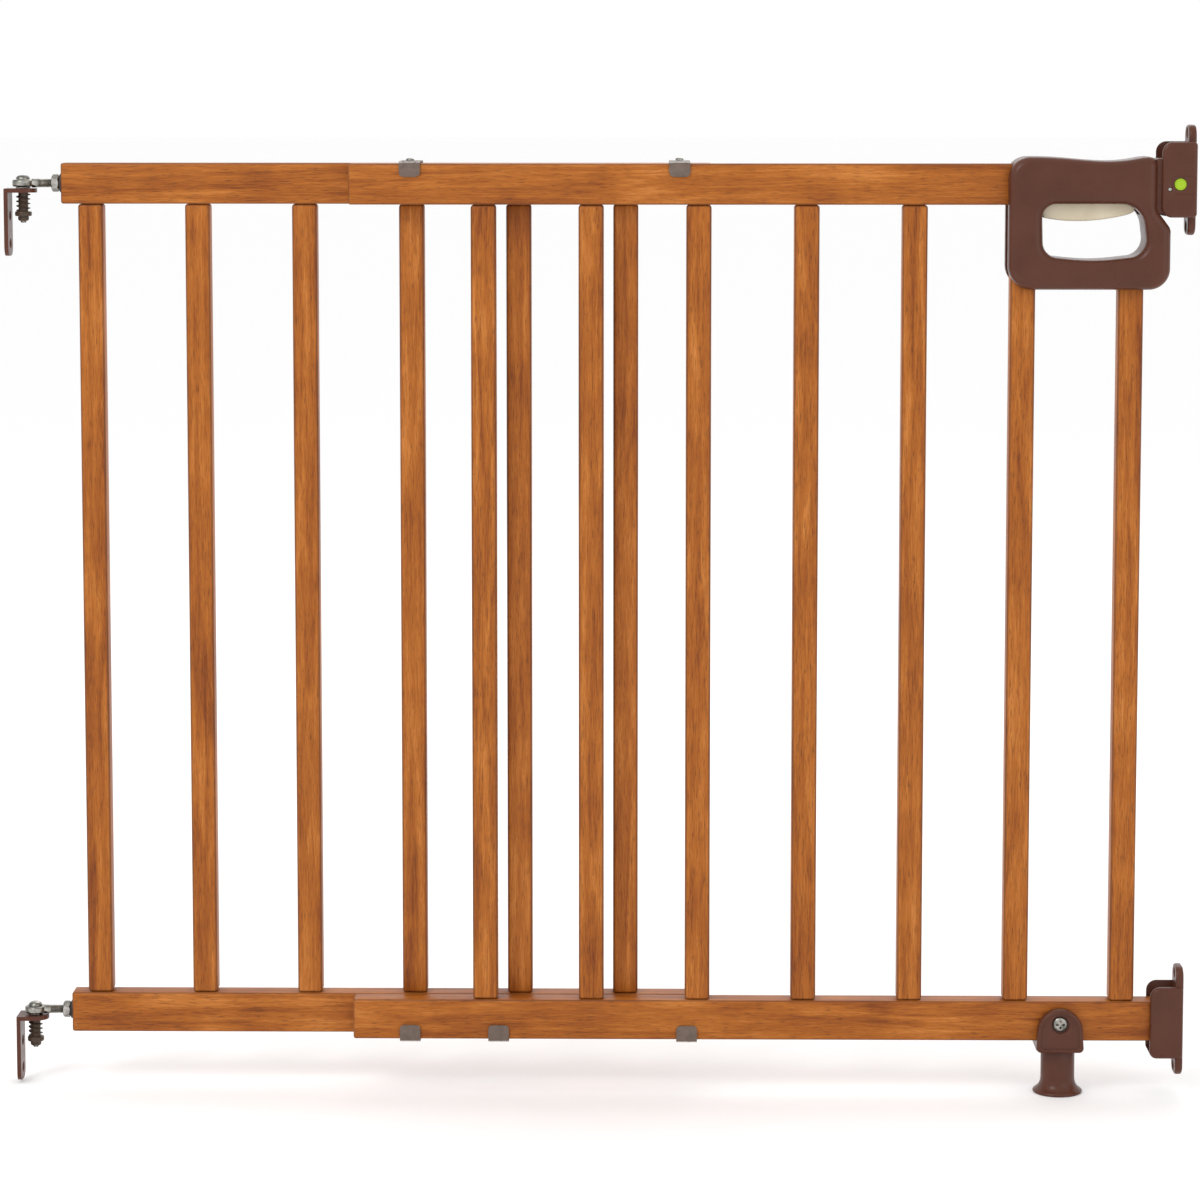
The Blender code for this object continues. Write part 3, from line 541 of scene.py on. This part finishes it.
WOOD_ALONG_X = stained_wood("stained_beech_rail", (0.06, 1, 1))
WOOD_ALONG_Z = stained_wood("stained_beech_baluster", (1, 1, 0.06))
BROWN = moulded(
    "brown_moulding", (0.072, 0.0220, 0.0115), (0.088, 0.0275, 0.0150), (0.25, 0.36)
)
BEIGE = moulded("beige_trigger_moulding", (0.52, 0.44, 0.31), (0.64, 0.56, 0.42), (0.38, 0.50))
GREEN = moulded(
    "green_indicator_moulding", (0.27, 0.43, 0.012), (0.34, 0.51, 0.022), (0.26, 0.36)
)
UMBER = moulded(
    "umber_bushing_moulding", (0.048, 0.030, 0.020), (0.066, 0.042, 0.028), (0.25, 0.36)
)
DARK = moulded(
    "dark_rail_insert", (0.030, 0.024, 0.021), (0.050, 0.040, 0.036), (0.42, 0.6)
)
ZINC = plated_steel("zinc_plating")
PAINT = painted_steel("clip_paint_painted_highlight")
CAD_FINISH = {
    "wood": WOOD_ALONG_Z,
    "brown_plastic": BROWN,
    "beige_plastic": BEIGE,
    "green_plastic": GREEN,
    "clip_steel": PAINT,
    "zinc_steel": ZINC,
    "dark_insert": DARK,
}


# ---------------------------------------------------------------- wood


def rail(node):
    """A square rail with eased edges."""
    low, high = limits(node)
    bar = block(node, *zip(low, high))
    round_edges(bar, 2.0, 4)
    show(smooth(bar), node, WOOD_ALONG_X, f"stained_{node}")


def baluster(node):
    """The part of a baluster seen between the rails; the last one ends in the handle."""
    low, high = limits(node)
    foot = limits("front_bottom_rail")[1][2] + GAP / 2
    under_rail = limits("front_top_rail")[0][2] - GAP / 2
    head = min(high[2], under_rail)
    bar = block(node, (low[0], high[0]), (low[1], high[1]), (foot, head))
    round_edges(bar, 2.8, 5)
    show(smooth(bar), node, WOOD_ALONG_Z, f"stained_{node}")


# ---------------------------------------------------------------- steel clips


NEAR = 0.1  # points closer to a plane than this lie in it


def clip(node, upward):
    """A strap bent over both rails: a sheet with two tabs, rounded at their corners."""
    low, high = limits(node)
    back, tip = (high[2], low[2]) if upward else (low[2], high[2])
    strap = bent_sheet(node, (low[0], high[0]), (low[1], high[1]), back)
    bend_edge(strap, lambda a, b: abs(a.y - b.y) < NEAR, tip - back)
    round_corners(strap, lambda v: abs(v.z - tip) < NEAR, 4, 6)
    pick(strap, "EDGE", lambda a, b: max(abs(a.z - back), abs(b.z - back), abs(a.y - b.y)) < NEAR)
    bpy.ops.mesh.bevel(affect="EDGES", offset=2.4 * MM, segments=6)
    done(strap)
    thicken(strap, 1.8, upward)
    round_edges(strap, 0.35, 2, 60)
    show(smooth(strap), node, PAINT, f"painted_{node}")


def cross_slot(head, centre, axis, span, wide, depth):
    """Press a cross recess into a screw head."""
    way = "XYZ".index(axis)
    for long_way in (i for i in range(3) if i != way):
        half = [wide / 2] * 3
        half[long_way] = span / 2
        half[way] = depth
        sides = [(centre[i] - half[i], centre[i] + half[i]) for i in range(3)]
        shape_with(head, block("driver", *sides))
    return head


def turned_along_y(name, profile, x, z, sides):
    """A turned piece along Y, its profile given as (radius, Y)."""
    return lathe(name, [(radius, -y) for radius, y in profile], (x, 0, z), "Y", sides)


def pan_screw(node, axis, outward):
    """A small pan-head screw along Y or Z; outward is +1 or -1 along its axis."""
    low, high = limits(node)
    way = "XYZ".index(axis)
    centre = [(a + b) / 2 for a, b in zip(low, high)]
    radius = max((high[i] - low[i]) / 2 for i in range(3) if i != way)
    top, tip = (high[way], low[way]) if outward > 0 else (low[way], high[way])
    thick = outward * 2.1
    profile = [(radius * 0.35, top), (radius * 0.72, top - outward * 0.25)]
    profile += [(radius * 0.93, top - outward * 0.9), (radius, top - thick * 0.75)]
    profile += [(radius, top - thick), (1.7, top - thick), (1.7, tip + outward * 2.0), (0.3, tip)]
    if axis == "Z":
        screw = lathe(node, profile, (centre[0], centre[1], 0), "Z", 32)
    else:
        screw = turned_along_y(node, profile, centre[0], centre[2], 32)
    centre[way] = top
    cross_slot(screw, centre, axis, radius * 1.1, 0.8, 1.1)
    show(smooth(screw), node, ZINC, f"zinc_{node}")


# ---------------------------------------------------------------- hinges


def hinge_bracket(end):
    """A round-ended flange under the eye, and a plate down the wall with two screw holes."""
    node = f"hinge_bracket_{end}"
    low, high = limits(node)
    sheet = 3.5
    plate = bent_sheet(node, (low[0], high[0]), (low[1], high[1]), high[2])
    bend_edge(plate, lambda a, b: max(a.x, b.x) < low[0] + NEAR, low[2] - high[2])
    round_corners(plate, lambda v: v.x > high[0] - NEAR, 11.9, 16)
    round_corners(plate, lambda v: v.z < low[2] + NEAR, 8, 8)
    thicken(plate, sheet)
    shape_with(plate, cylinder("hole", 4.5, -30, 30, (*HINGE_AXIS, high[2]), "Z"))
    for drop in (20, 44):
        hole = (low[0], HINGE_AXIS[1], high[2] - sheet - drop)
        shape_with(plate, cylinder("screw_hole", 2.6, -10, 10, hole, "X"))
        cone = [(5.0, 0.2), (5.0, 0.0), (2.4, -2.0), (2.4, -2.4)]
        shape_with(plate, lathe("sink", cone, (low[0] + sheet, *hole[1:]), "X"))
    round_edges(plate, 0.7, 3, 50)
    show(smooth(plate), node, BROWN, f"moulded_{node}")


def helix(name, section, pitch, turns, start):
    """A closed section wound round the Z axis through start; a negative pitch winds downwards."""
    deselect()
    bpy.ops.mesh.primitive_circle_add(vertices=len(section), radius=MM, location=(0, 0, 0))
    wound = bpy.context.object
    wound.name = name
    for vertex, (radius, rise) in zip(wound.data.vertices, section):
        vertex.co = (radius * MM, 0, rise * MM)
    apply_step(
        wound,
        "SCREW",
        axis="Z",
        angle=math.tau,
        screw_offset=pitch * MM,
        iterations=turns,
        steps=40,
        render_steps=40,
        use_merge_vertices=False,
    )
    wound.location = [value * MM for value in start]
    open_mesh(settle(wound), "EDGE")
    bpy.ops.mesh.select_non_manifold()
    bpy.ops.mesh.edge_face_add()
    done(wound)
    return face_out(wound)


def finned_bushing(end):
    """The height-setting bushing: a core with a helical fin and a wide end disc."""
    node = f"hinge_bushing_{end}"
    low, high = limits(node)
    bore, core, rim = 2.8, 4.2, 7.2
    pitch = 3.9
    height = high[2]
    disc = low[2] + 4.0
    profile = [(bore, height), (core, height), (core, disc + 0.1), (rim - 0.6, disc)]
    profile += [(rim, disc - 0.6), (rim, disc - 3.4), (rim - 0.6, disc - 4.0)]
    profile += [(bore, disc - 4.0), (bore, height)]
    bushing = lathe(node, profile, (*HINGE_AXIS, 0), "Z", 48, ring=True)
    section = [(core - 0.4, 1.0), (5.9, 0.45), (6.3, 0.0), (5.9, -0.45), (core - 0.4, -1.0)]
    section += [(core - 0.3, 0.0)]
    join(bushing, helix("fin", section, -pitch, 4, (*HINGE_AXIS, height - pitch - 1.0)))
    show(smooth(bushing, 50), node, UMBER, f"moulded_{node}")


def pivot(end):
    """Domed bolt, washer and cap nut on a hinge's axis."""
    at = (*HINGE_AXIS, 0)
    node = f"pivot_bolt_{end}"
    low, high = limits(node)
    tip, head = low[2], high[2]
    dome = [(1.6, head), (3.6, head - 0.35), (5.0, head - 1.1), (5.8, head - 2.1)]
    dome += [(6.0, head - 2.8), (6.0, head - 3.6), (2.5, head - 3.6), (2.5, tip + 0.6), (1.9, tip)]
    show(smooth(lathe(node, dome, at)), node, ZINC, f"zinc_{node}")

    node = f"pivot_washer_{end}"
    low, high = limits(node)
    bore, edge, ease = 2.8, 6.4, 0.2
    ring = [(bore, high[2]), (edge - ease, high[2]), (edge, high[2] - ease)]
    ring += [(edge, low[2] + ease), (edge - ease, low[2]), (bore, low[2]), (bore, high[2])]
    show(smooth(lathe(node, ring, at, ring=True)), node, ZINC, f"zinc_{node}")

    node = f"pivot_nut_{end}"
    low, high = limits(node)
    bore, top = 2.9, high[2]
    dome = [(bore, top), (4.6, top), (4.7, top - 0.3), (4.7, top - 2.4), (4.1, top - 3.5)]
    dome += [(3.2, low[2] + 0.1), (bore, low[2]), (bore, top)]
    show(smooth(lathe(node, dome, at, ring=True)), node, UMBER, f"moulded_{node}")


def hex_nut(node, bore):
    """A hexagon nut along X with chamfered corners, one of them up."""
    low, high = limits(node)
    centre = [(a + b) / 2 for a, b in zip(low, high)]
    half = (high[0] - low[0]) / 2
    radius = (high[2] - low[2]) / 2
    nut = cylinder(node, radius, -half, half, centre, "X", sides=6)
    open_mesh(nut, action="SELECT")
    pivot_point = Vector(centre) * MM
    bpy.ops.transform.rotate(value=math.pi / 6, orient_axis="X", center_override=pivot_point)
    done(nut)
    inner = radius * math.cos(math.pi / 6) * 0.93
    outer = radius * 1.02
    chamfer = [(inner, half), (outer, half - 1.2), (outer, -half + 1.2), (inner, -half)]
    shape_with(nut, lathe("chamfer", chamfer, centre, "X", 48), "INTERSECT")
    shape_with(nut, cylinder("bore", bore, -20, 20, centre, "X"))
    round_edges(nut, 0.25, 2, 40)
    show(smooth(nut, 30), node, ZINC, f"zinc_{node}")


def eye_bolt(end):
    """A forged eye on a threaded rod that screws into the rail."""
    node = f"eye_bolt_{end}"
    low, high = limits(node)
    height = (low[2] + high[2]) / 2
    hole, outer, half = 2.95, 9.2, 3.0
    corner = 1.6
    ring = [(hole, half - 0.3), (hole + 0.4, half)]
    for turn in (0, 0.4, 0.8, 1.2, 1.57):
        out = outer - corner + corner * math.sin(turn)
        ring.append((out, half - corner + corner * math.cos(turn)))
    ring += [(r, -h) for r, h in reversed(ring)]
    ring.append(ring[0])
    eye = lathe(node, ring, (*HINGE_AXIS, height), "Z", 56, ring=True)

    crest, root, pitch = 3.8, 3.35, 1.25
    thread_from, thread_to = -480.5, -438.0
    profile = [(crest, HINGE_AXIS[0] + 7.8), (crest, thread_from)]
    place = thread_from
    while place < thread_to:
        profile += [(root, place + pitch * 0.45), (crest, place + pitch * 0.95)]
        place += pitch
    profile.append((crest - 0.8, place + 1.2))
    join(eye, lathe("rod", profile, (0, HINGE_AXIS[1], height), "X", 32))
    show(smooth(eye, 40), node, ZINC, f"zinc_{node}")


def rail_insert(end):
    """The flanged socket in the rail's end that takes the threaded rod."""
    node = f"rail_insert_{end}"
    low, high = limits(node)
    height = (low[2] + high[2]) / 2
    face = low[0]
    bore, body, flange = 4.1, 5.5, 8.0
    ring = [(bore, face), (flange - 0.6, face), (flange, face + 0.5), (flange, face + 1.9)]
    ring += [(body, face + 1.9), (body, high[0]), (bore, high[0]), (bore, face)]
    insert = lathe(node, ring, (0, HINGE_AXIS[1], height), "X", 40, ring=True)
    show(smooth(insert), node, DARK, f"dark_{node}")


# ---------------------------------------------------------------- handle


HANDLE_X = (350.0, 487.4)
HANDLE_Z = (700.6, 813.5)
SHOULDER_X = 475.7  # where the handle steps back under the wall bracket
HANDLE_DIP = 3.6  # depth of the wave in the top edge
GRIP_SAG = 2.2
FACE_ROUND = 7.5
SEAM_Y = (-7.45, -7.15)  # facing sides of the front and rear shells
SPRING_X = 415.0


def handle_outline():
    """The handle's side view: waved top edge, round lower corners, a step under the bracket."""
    low_x, high_x = HANDLE_X
    low_z, high_z = HANDLE_Z
    corners = [(low_x, low_z, 20), (high_x, low_z, 18), (high_x, 752.5, 10)]
    corners += [(SHOULDER_X, 768.0, 10), (SHOULDER_X, high_z, 8), (low_x, high_z, 18)]
    steps = 12
    points = rounded(corners, steps)
    wave = []
    start = SHOULDER_X - 10
    end = low_x + 20
    count = 28
    for i in range(1, count):
        share = i / count
        dip = HANDLE_DIP * math.sin(math.pi * share**0.62) ** 2
        wave.append((start + (end - start) * share, high_z - dip))
    before_wave = 5 * (steps + 1)
    return points[:before_wave] + wave + points[before_wave:]


def grip_outline():
    """The finger opening: rounder towards the wall, with a sagging lower edge."""
    corners = [(379.5, 728.0, 13), (378.2, 773.4, 12), (463.0, 773.4, 20), (468.5, 728.5, 15)]
    points = rounded(corners, 12)
    last = len(points)
    start, end = points[-1], points[0]
    count = 16
    for i in range(1, count):
        share = i / count
        sag = GRIP_SAG * math.sin(math.pi * share)
        height = start[1] + (end[1] - start[1]) * share
        points.append((start[0] + (end[0] - start[0]) * share, height - sag))
    return points[last:] + points[:last]


def moulded_form(name, outlines, y, width):
    """A thick form with rounded edges from closed side outlines; inner ones are openings."""
    curve = bpy.data.curves.new(name, "CURVE")
    curve.dimensions = "2D"
    curve.fill_mode = "BOTH"
    curve.extrude = ((y[1] - y[0]) / 2 - width) * MM
    curve.bevel_depth = width * MM
    curve.bevel_resolution = 5
    curve.offset = -width * MM
    for outline in outlines:
        path = curve.splines.new("POLY")
        path.points.add(len(outline) - 1)
        path.use_cyclic_u = True
        for point, (x, z) in zip(path.points, outline):
            point.co = (x * MM, z * MM, 0, 1)
    deselect()
    form = bpy.data.objects.new(name, curve)
    bpy.context.collection.objects.link(form)
    take(form)
    bpy.ops.object.convert(target="MESH")
    form = bpy.context.object
    form.rotation_euler.x = math.pi / 2
    form.location.y = (y[0] + y[1]) / 2 * MM
    settle(form)
    return face_out(form)


def around_panel(half):
    """The Y range that reaches half to each side of the front panel's middle."""
    return PANEL_Y - half, PANEL_Y + half


def handle_shells():
    """Two moulded halves round the wood and the latch, with a rounded finger opening."""
    form = moulded_form("handle", [handle_outline(), grip_outline()], LATCH_Y, FACE_ROUND)
    rail_room = around_panel(11.4)
    bar_room = around_panel(9.8)
    pockets = [
        block("rail_pocket", (330, 375.3), rail_room, (772.0, 807.7)),
        block("channel", (330, 374.55), bar_room, (690, 773)),
        block("socket", (444.45, 466.55), bar_room, (690, 714.3)),
        block("latch_pocket", (378.4, 473.0), around_panel(9.6), (764, 807)),
    ]
    for pocket in pockets:
        shape_with(form, pocket)
    root = SHOULDER_X - 1.4
    nose = [(root, 765.0, 0), (502.0, 765.0, 5), (502.0, 812.0, 5), (root, 812.0, 0)]
    tongue = slab("tongue", rounded(nose), "Y", *around_panel(19.4))
    round_edges(tongue, 1.6, 3, 60)
    shape_with(form, tongue, "UNION")
    shape_with(form, block("hook_passage", (470.0, 497.0), around_panel(3.0), (779, 810)))
    shape_with(form, block("pin_slot", (482.6, 510.0), around_panel(30), (783.6, 788.4)))
    for x, z in ((363.5, 745), (408, 711), (477.2, 734)):
        shape_with(form, cylinder("well", 4.2, 4.0, 14, (x, 7.7, z), "Y"))
    take(form)
    bpy.ops.object.duplicate()
    halves = (
        (form, "handle_front_shell", (-50, SEAM_Y[0])),
        (bpy.context.object, "handle_rear_shell", (SEAM_Y[1], 50)),
    )
    for shell, node, side in halves:
        shape_with(shell, block("half", (300, 540), side, (650, 850)), "INTERSECT")
        show(smooth(shell, 32), node, BROWN, f"moulded_{node}")


def trigger():
    """The squeeze bar: a bellied underside in the finger opening, its top hidden in the handle."""
    belly = [(379.2, 761.6), (384, 760.7), (390, 759.8), (396, 759.1), (402, 758.7), (408, 758.6)]
    belly += [(415, 758.7), (422, 759.1), (430, 759.9), (437, 760.9), (444, 762.2), (450, 763.6)]
    belly += [(454.6, 765.0), (457.0, 766.6), (458, 769.0), (458, 776.5)]
    belly += [(471.5, 779.5), (471.5, 793.6)]
    top = [(466.5, 793.6), (466.5, 785.5), (450, 782.0), (384, 782.0), (379.2, 778.0)]
    bar = slab("trigger", belly + top, "Y", *around_panel(9.0))
    round_edges(bar, 2.2, 4, 60)
    show(smooth(bar), "trigger", BEIGE, "moulded_trigger")


def trigger_spring():
    """The return spring's coil, shorter than its room by the trigger's travel and a little."""
    low, high = limits("trigger_spring")
    coil, wire, turns = 3.6, 0.5, 6
    travel = 5.2
    section = []
    for i in range(10):
        angle = math.tau * i / 10
        section.append((coil + wire * math.cos(angle), wire * math.sin(angle)))
    pitch = (high[2] - low[2] - travel - 2 * wire) / turns
    spring = helix("spring", section, pitch, turns, (SPRING_X, PANEL_Y, low[2] + wire))
    show(smooth(spring, 50), "trigger_spring", ZINC, "zinc_trigger_spring")


def handle_screw(node):
    """A screw from behind that holds the two shells together."""
    low, high = limits(node)
    x = (low[0] + high[0]) / 2
    z = (low[2] + high[2]) / 2
    tip, face = low[1], high[1]
    shank, head = 1.7, 3.7
    profile = [(1.2, face), (2.6, face - 0.2), (3.5, face - 0.8), (head, face - 1.6)]
    profile += [(head, face - 2.3), (shank, face - 2.3), (shank, tip + 1.5), (0.3, tip)]
    screw = turned_along_y(node, profile, x, z, 32)
    cross_slot(screw, (x, face, z), "Y", 4.0, 0.9, 1.2)
    show(smooth(screw), node, ZINC, f"zinc_{node}")


# ---------------------------------------------------------------- wall brackets


def screw_plate(low, high):
    """The plate behind a bracket, rounded at both ends, with countersunk holes."""
    left, right = around_panel(14.0)
    corners = [(left, low, 10), (right, low, 10), (right, high, 10), (left, high, 10)]
    plate = slab("wall_plate", rounded(corners), "X", TAB_X, WALL_X)
    round_edges(plate, 2.0, 4, 60)
    from_end = 7.2
    for height in (low + from_end, high - from_end):
        shape_with(plate, cylinder("hole", 2.6, -20, 20, (WALL_X, PANEL_Y, height), "X"))
        sink = [(2.4, 3.4), (2.4, 3.0), (5.4, 0.0), (5.4, -0.6)]
        shape_with(plate, lathe("sink", sink, (TAB_X, PANEL_Y, height), "X"))
    return plate


def bracket_block(name, x, z, lower_round, y):
    """A bracket's body: square against the wall and rounded towards the gate."""
    wall = WALL_X - GAP
    corners = [(x, z[0], lower_round), (wall, z[0], 0), (wall, z[1], 0), (x, z[1], 9)]
    return round_edges(slab(name, rounded(corners), "Y", *y), 3.2, 5, 60)


def strike_bracket():
    """The upper wall bracket: two cheeks round the handle's nose, and the indicator's panel."""
    front, back = LATCH_Y
    bracket = bracket_block("strike", 478.9, (762.0, 826.0), 9, LATCH_Y)
    left, right, low, high, corner = 487.0, 507.6, 781.4, 797.4, 3.4
    panel = [(left, low, corner), (right, low, corner), (right, high, corner), (left, high, corner)]
    shape_with(bracket, slab("panel", rounded(panel, 8), "Y", front - 5, front + 0.6))
    shape_with(bracket, cylinder("window", 5.3, -10, 10, (494.3, front, 790.2), "Y"))
    pin_x, pin_z = STRIKE_PIN
    shape_with(bracket, cylinder("pin_way", 1.9, -60, 60, (pin_x, 0, pin_z), "Y"))
    cheek = 3.5
    mouth = block("mouth", (450, 504.5), (front + cheek, back - cheek), (740, 850))
    shape_with(bracket, mouth)
    shape_with(bracket, screw_plate(746.6, 840.4), "UNION")
    round_edges(bracket, 0.35, 2, 55)
    show(smooth(bracket), "strike_bracket", BROWN, "moulded_strike_bracket")


def strike_pin():
    """The cross pin that the hook holds, with eased ends."""
    low, high = limits("strike_pin")
    half = (high[1] - low[1]) / 2
    end = [(0.9, half), (1.4, half - 0.15), (1.6, half - 0.5)]
    profile = end + [(radius, -along) for radius, along in reversed(end)]
    pin_x, pin_z = STRIKE_PIN
    pin = lathe("pin", profile, (pin_x, PANEL_Y, pin_z), "Y", 32)
    show(smooth(pin), "strike_pin", ZINC, "zinc_strike_pin")


def indicator():
    """The lock indicator: a lime disc with a low ring round its face."""
    low, high = limits("indicator_button")
    face, back = low[1], high[1]
    x = (low[0] + high[0]) / 2
    z = (low[2] + high[2]) / 2
    profile = [(2.4, face), (3.6, face), (3.8, face + 0.35), (4.1, face + 0.35)]
    profile += [(4.3, face + 0.02), (4.8, face + 0.2), (5.0, face + 0.6)]
    profile += [(5.0, back - 0.3), (4.7, back)]
    button = turned_along_y("button", profile, x, z, 48)
    show(smooth(button), "indicator_button", GREEN, "moulded_indicator_button")


def cup_bracket():
    """The lower wall bracket: a cup with an open front end for the bottom rail."""
    front, back = -24.3, 9.7
    floor, side = 33.0, 4
    cup = bracket_block("cup", 480.0, (floor, 96.0), 6, (front, back))
    mouth = block("mouth", (450, 505), (front + side, back - side), (floor + side, 120))
    shape_with(cup, mouth)
    shape_with(cup, screw_plate(17.0, 113.0), "UNION")
    round_edges(cup, 0.35, 2, 55)
    show(smooth(cup), "cup_bracket", BROWN, "moulded_cup_bracket")


# ---------------------------------------------------------------- foot


FOOT_X = 402.0
CAP_SCREW_Z = 64.0


def cap_outline(inset, shoulder):
    """The cap's face: a round top on sides that spread a little to rounded lower corners."""
    top = 19.6 - inset
    low = 39.0 + inset
    wide = 20.8 - inset
    left, right = FOOT_X - top, FOOT_X + top
    corners = [(left, shoulder, 0), (FOOT_X - wide, low, 4), (FOOT_X + wide, low, 4)]
    corners.append((right, shoulder, 0))
    return rounded(corners, 6) + arc((FOOT_X, shoulder), top, 5, 175, 30)


def foot_cap():
    """Arched cap on the bottom rail with a raised border, a socket for the foot and a screw."""
    shoulder = 57.6
    face = -28.3
    seat = 40.6
    cap = slab("cap", cap_outline(0.0, shoulder), "Y", face, -18.6)
    round_edges(cap, 2.4, 5, 60)
    shelf = block("shelf", (FOOT_X - 20.3, FOOT_X + 20.3), (-22.6, 13.0), (39.5, 47.2))
    round_edges(shelf, 1.4, 3, 60)
    shape_with(cap, shelf, "UNION")
    shape_with(cap, cylinder("socket", 15.2, -10, 5.2, (FOOT_X, PANEL_Y, seat)))
    shape_with(cap, cylinder("stud_way", 4.5, 0, 20, (FOOT_X, PANEL_Y, seat)))
    shape_with(cap, slab("panel", cap_outline(3.4, shoulder), "Y", face - 5, face + 1.1))
    at = (FOOT_X, face, CAP_SCREW_Z)
    shape_with(cap, cylinder("recess", 7.9, -5, 3.4, at, "Y", 48))
    shape_with(cap, cylinder("screw_way", 2.6, -5, 20, at, "Y"))
    round_edges(cap, 0.4, 2, 55)
    show(smooth(cap), "foot_cap", BROWN, "moulded_foot_cap")

    top, head, shank = 1.0, 6.3, 2.2
    profile = [(1.8, top), (4.2, top + 0.2), (5.7, top + 0.8), (head, top + 1.5)]
    profile += [(head, top + 2.1), (shank, top + 2.1), (shank, 20.5), (0.4, 22.0)]
    screw = lathe("cap_screw", [(r, -h) for r, h in profile], at, "Y", 40)
    cross_slot(screw, (FOOT_X, face + top, CAP_SCREW_Z), "Y", 7.6, 1.7, 3.0)
    show(smooth(screw), "cap_screw", ZINC, "zinc_cap_screw")


def foot_base():
    """The round foot, flared where it stands on the floor."""
    profile = [(11.0, 40.6), (13.7, 40.6), (14.4, 40.3), (14.7, 39.6), (14.7, 14.0)]
    profile += [(14.9, 11.0), (15.5, 8.6), (16.6, 6.4), (18.2, 4.4), (20.4, 2.9)]
    profile += [(21.2, 2.2), (21.5, 1.4), (21.2, 0.5), (20.6, 0.0)]
    pad = lathe("foot_base", profile, (FOOT_X, PANEL_Y, 0), "Z", 64)
    show(smooth(pad), "foot_base", BROWN, "moulded_foot_base")


# ---------------------------------------------------------------- room


def room():
    """A wide pale floor in an evenly bright room, with three soft lamps."""
    deselect()
    bpy.ops.mesh.primitive_plane_add(size=120)
    floor = bpy.context.object
    floor.name = "studio_floor"
    pale = Finish("pale_floor")
    pale.set(Base_Color=(0.985, 0.985, 0.985, 1), Roughness=0.9, Specular_IOR_Level=0.1)
    floor.data.materials.append(pale.material)
    world = bpy.data.worlds.new("studio")
    bpy.context.scene.world = world
    world.use_nodes = True
    sky = world.node_tree.nodes["Background"]
    sky.inputs["Color"].default_value = (1, 1, 1, 1)
    sky.inputs["Strength"].default_value = 1.0
    softbox("key_light", (-1.8, -2.6, 3.0), 1.6, 42)
    softbox("fill_light", (2.6, -2.4, 1.2), 2.0, 10)
    softbox("back_light", (0.6, 2.8, 2.8), 2.4, 22)
    bpy.context.scene.view_settings.view_transform = "Standard"


def softbox(name, place, size, watts):
    """A square lamp aimed at the middle of the gate."""
    deselect()
    bpy.ops.object.light_add(type="AREA", location=place)
    light = bpy.context.object
    light.name = name
    light.data.energy = watts
    light.data.size = size
    gate_middle = Vector((0, 0, 0.42))
    aim = gate_middle - Vector(place)
    light.rotation_euler = aim.to_track_quat("-Z", "Y").to_euler()


def camera():
    """The front view: a long lens a little above the gate's top, tilted down."""
    deselect()
    bpy.ops.object.camera_add(location=(0.044, -3.2, 0.873))
    eye = bpy.context.object
    eye.name = "front_camera"
    yaw = math.radians(-0.735)
    pitch = math.radians(-5.66)
    level = math.cos(pitch)
    aim = Vector((math.sin(yaw) * level, math.cos(yaw) * level, math.sin(pitch)))
    eye.rotation_euler = aim.to_track_quat("-Z", "Y").to_euler()
    eye.data.lens = 112.0
    eye.data.shift_y = -0.12
    bpy.context.scene.camera = eye


def wood(nodes):
    """All rails and balusters."""
    for node in nodes:
        if node.endswith("_rail"):
            rail(node)
        elif "_baluster_" in node:
            baluster(node)


def clips():
    """The five clips and their screws; the lock clip's screw goes in from behind."""
    for side in ("left", "right"):
        clip(f"top_clip_{side}", True)
        pan_screw(f"top_clip_{side}_screw", "Z", 1)
    for side in ("left", "right"):
        clip(f"bottom_clip_{side}", False)
        pan_screw(f"bottom_clip_{side}_screw", "Z", -1)
    clip("lock_clip", False)
    pan_screw("lock_screw", "Y", 1)


def hinges():
    """Both wall hinges, and the rods that go from them into the rear rails."""
    for end in ("top", "bottom"):
        hinge_bracket(end)
        finned_bushing(end)
        pivot(end)
        eye_bolt(end)
        hex_nut(f"jam_nut_{end}", 4.1)
        rail_insert(end)


def handle():
    """Shells, trigger, spring and screws."""
    handle_shells()
    trigger()
    trigger_spring()
    for side in ("left", "lower", "right"):
        handle_screw(f"handle_screw_{side}")


def finish_cad_parts(nodes):
    """Give the plain parts the same finishes, for those shown and those inside."""
    for node in nodes:
        mesh = frame["nodes"][node].data
        mesh.materials.clear()
        mesh.materials.append(CAD_FINISH[SLOT_OF[node]])


def main():
    nodes = sorted(frame["nodes"])
    camera()
    room()
    wood(nodes)
    clips()
    hinges()
    handle()
    strike_bracket()
    strike_pin()
    indicator()
    cup_bracket()
    foot_cap()
    foot_base()
    finish_cad_parts(nodes)


main()
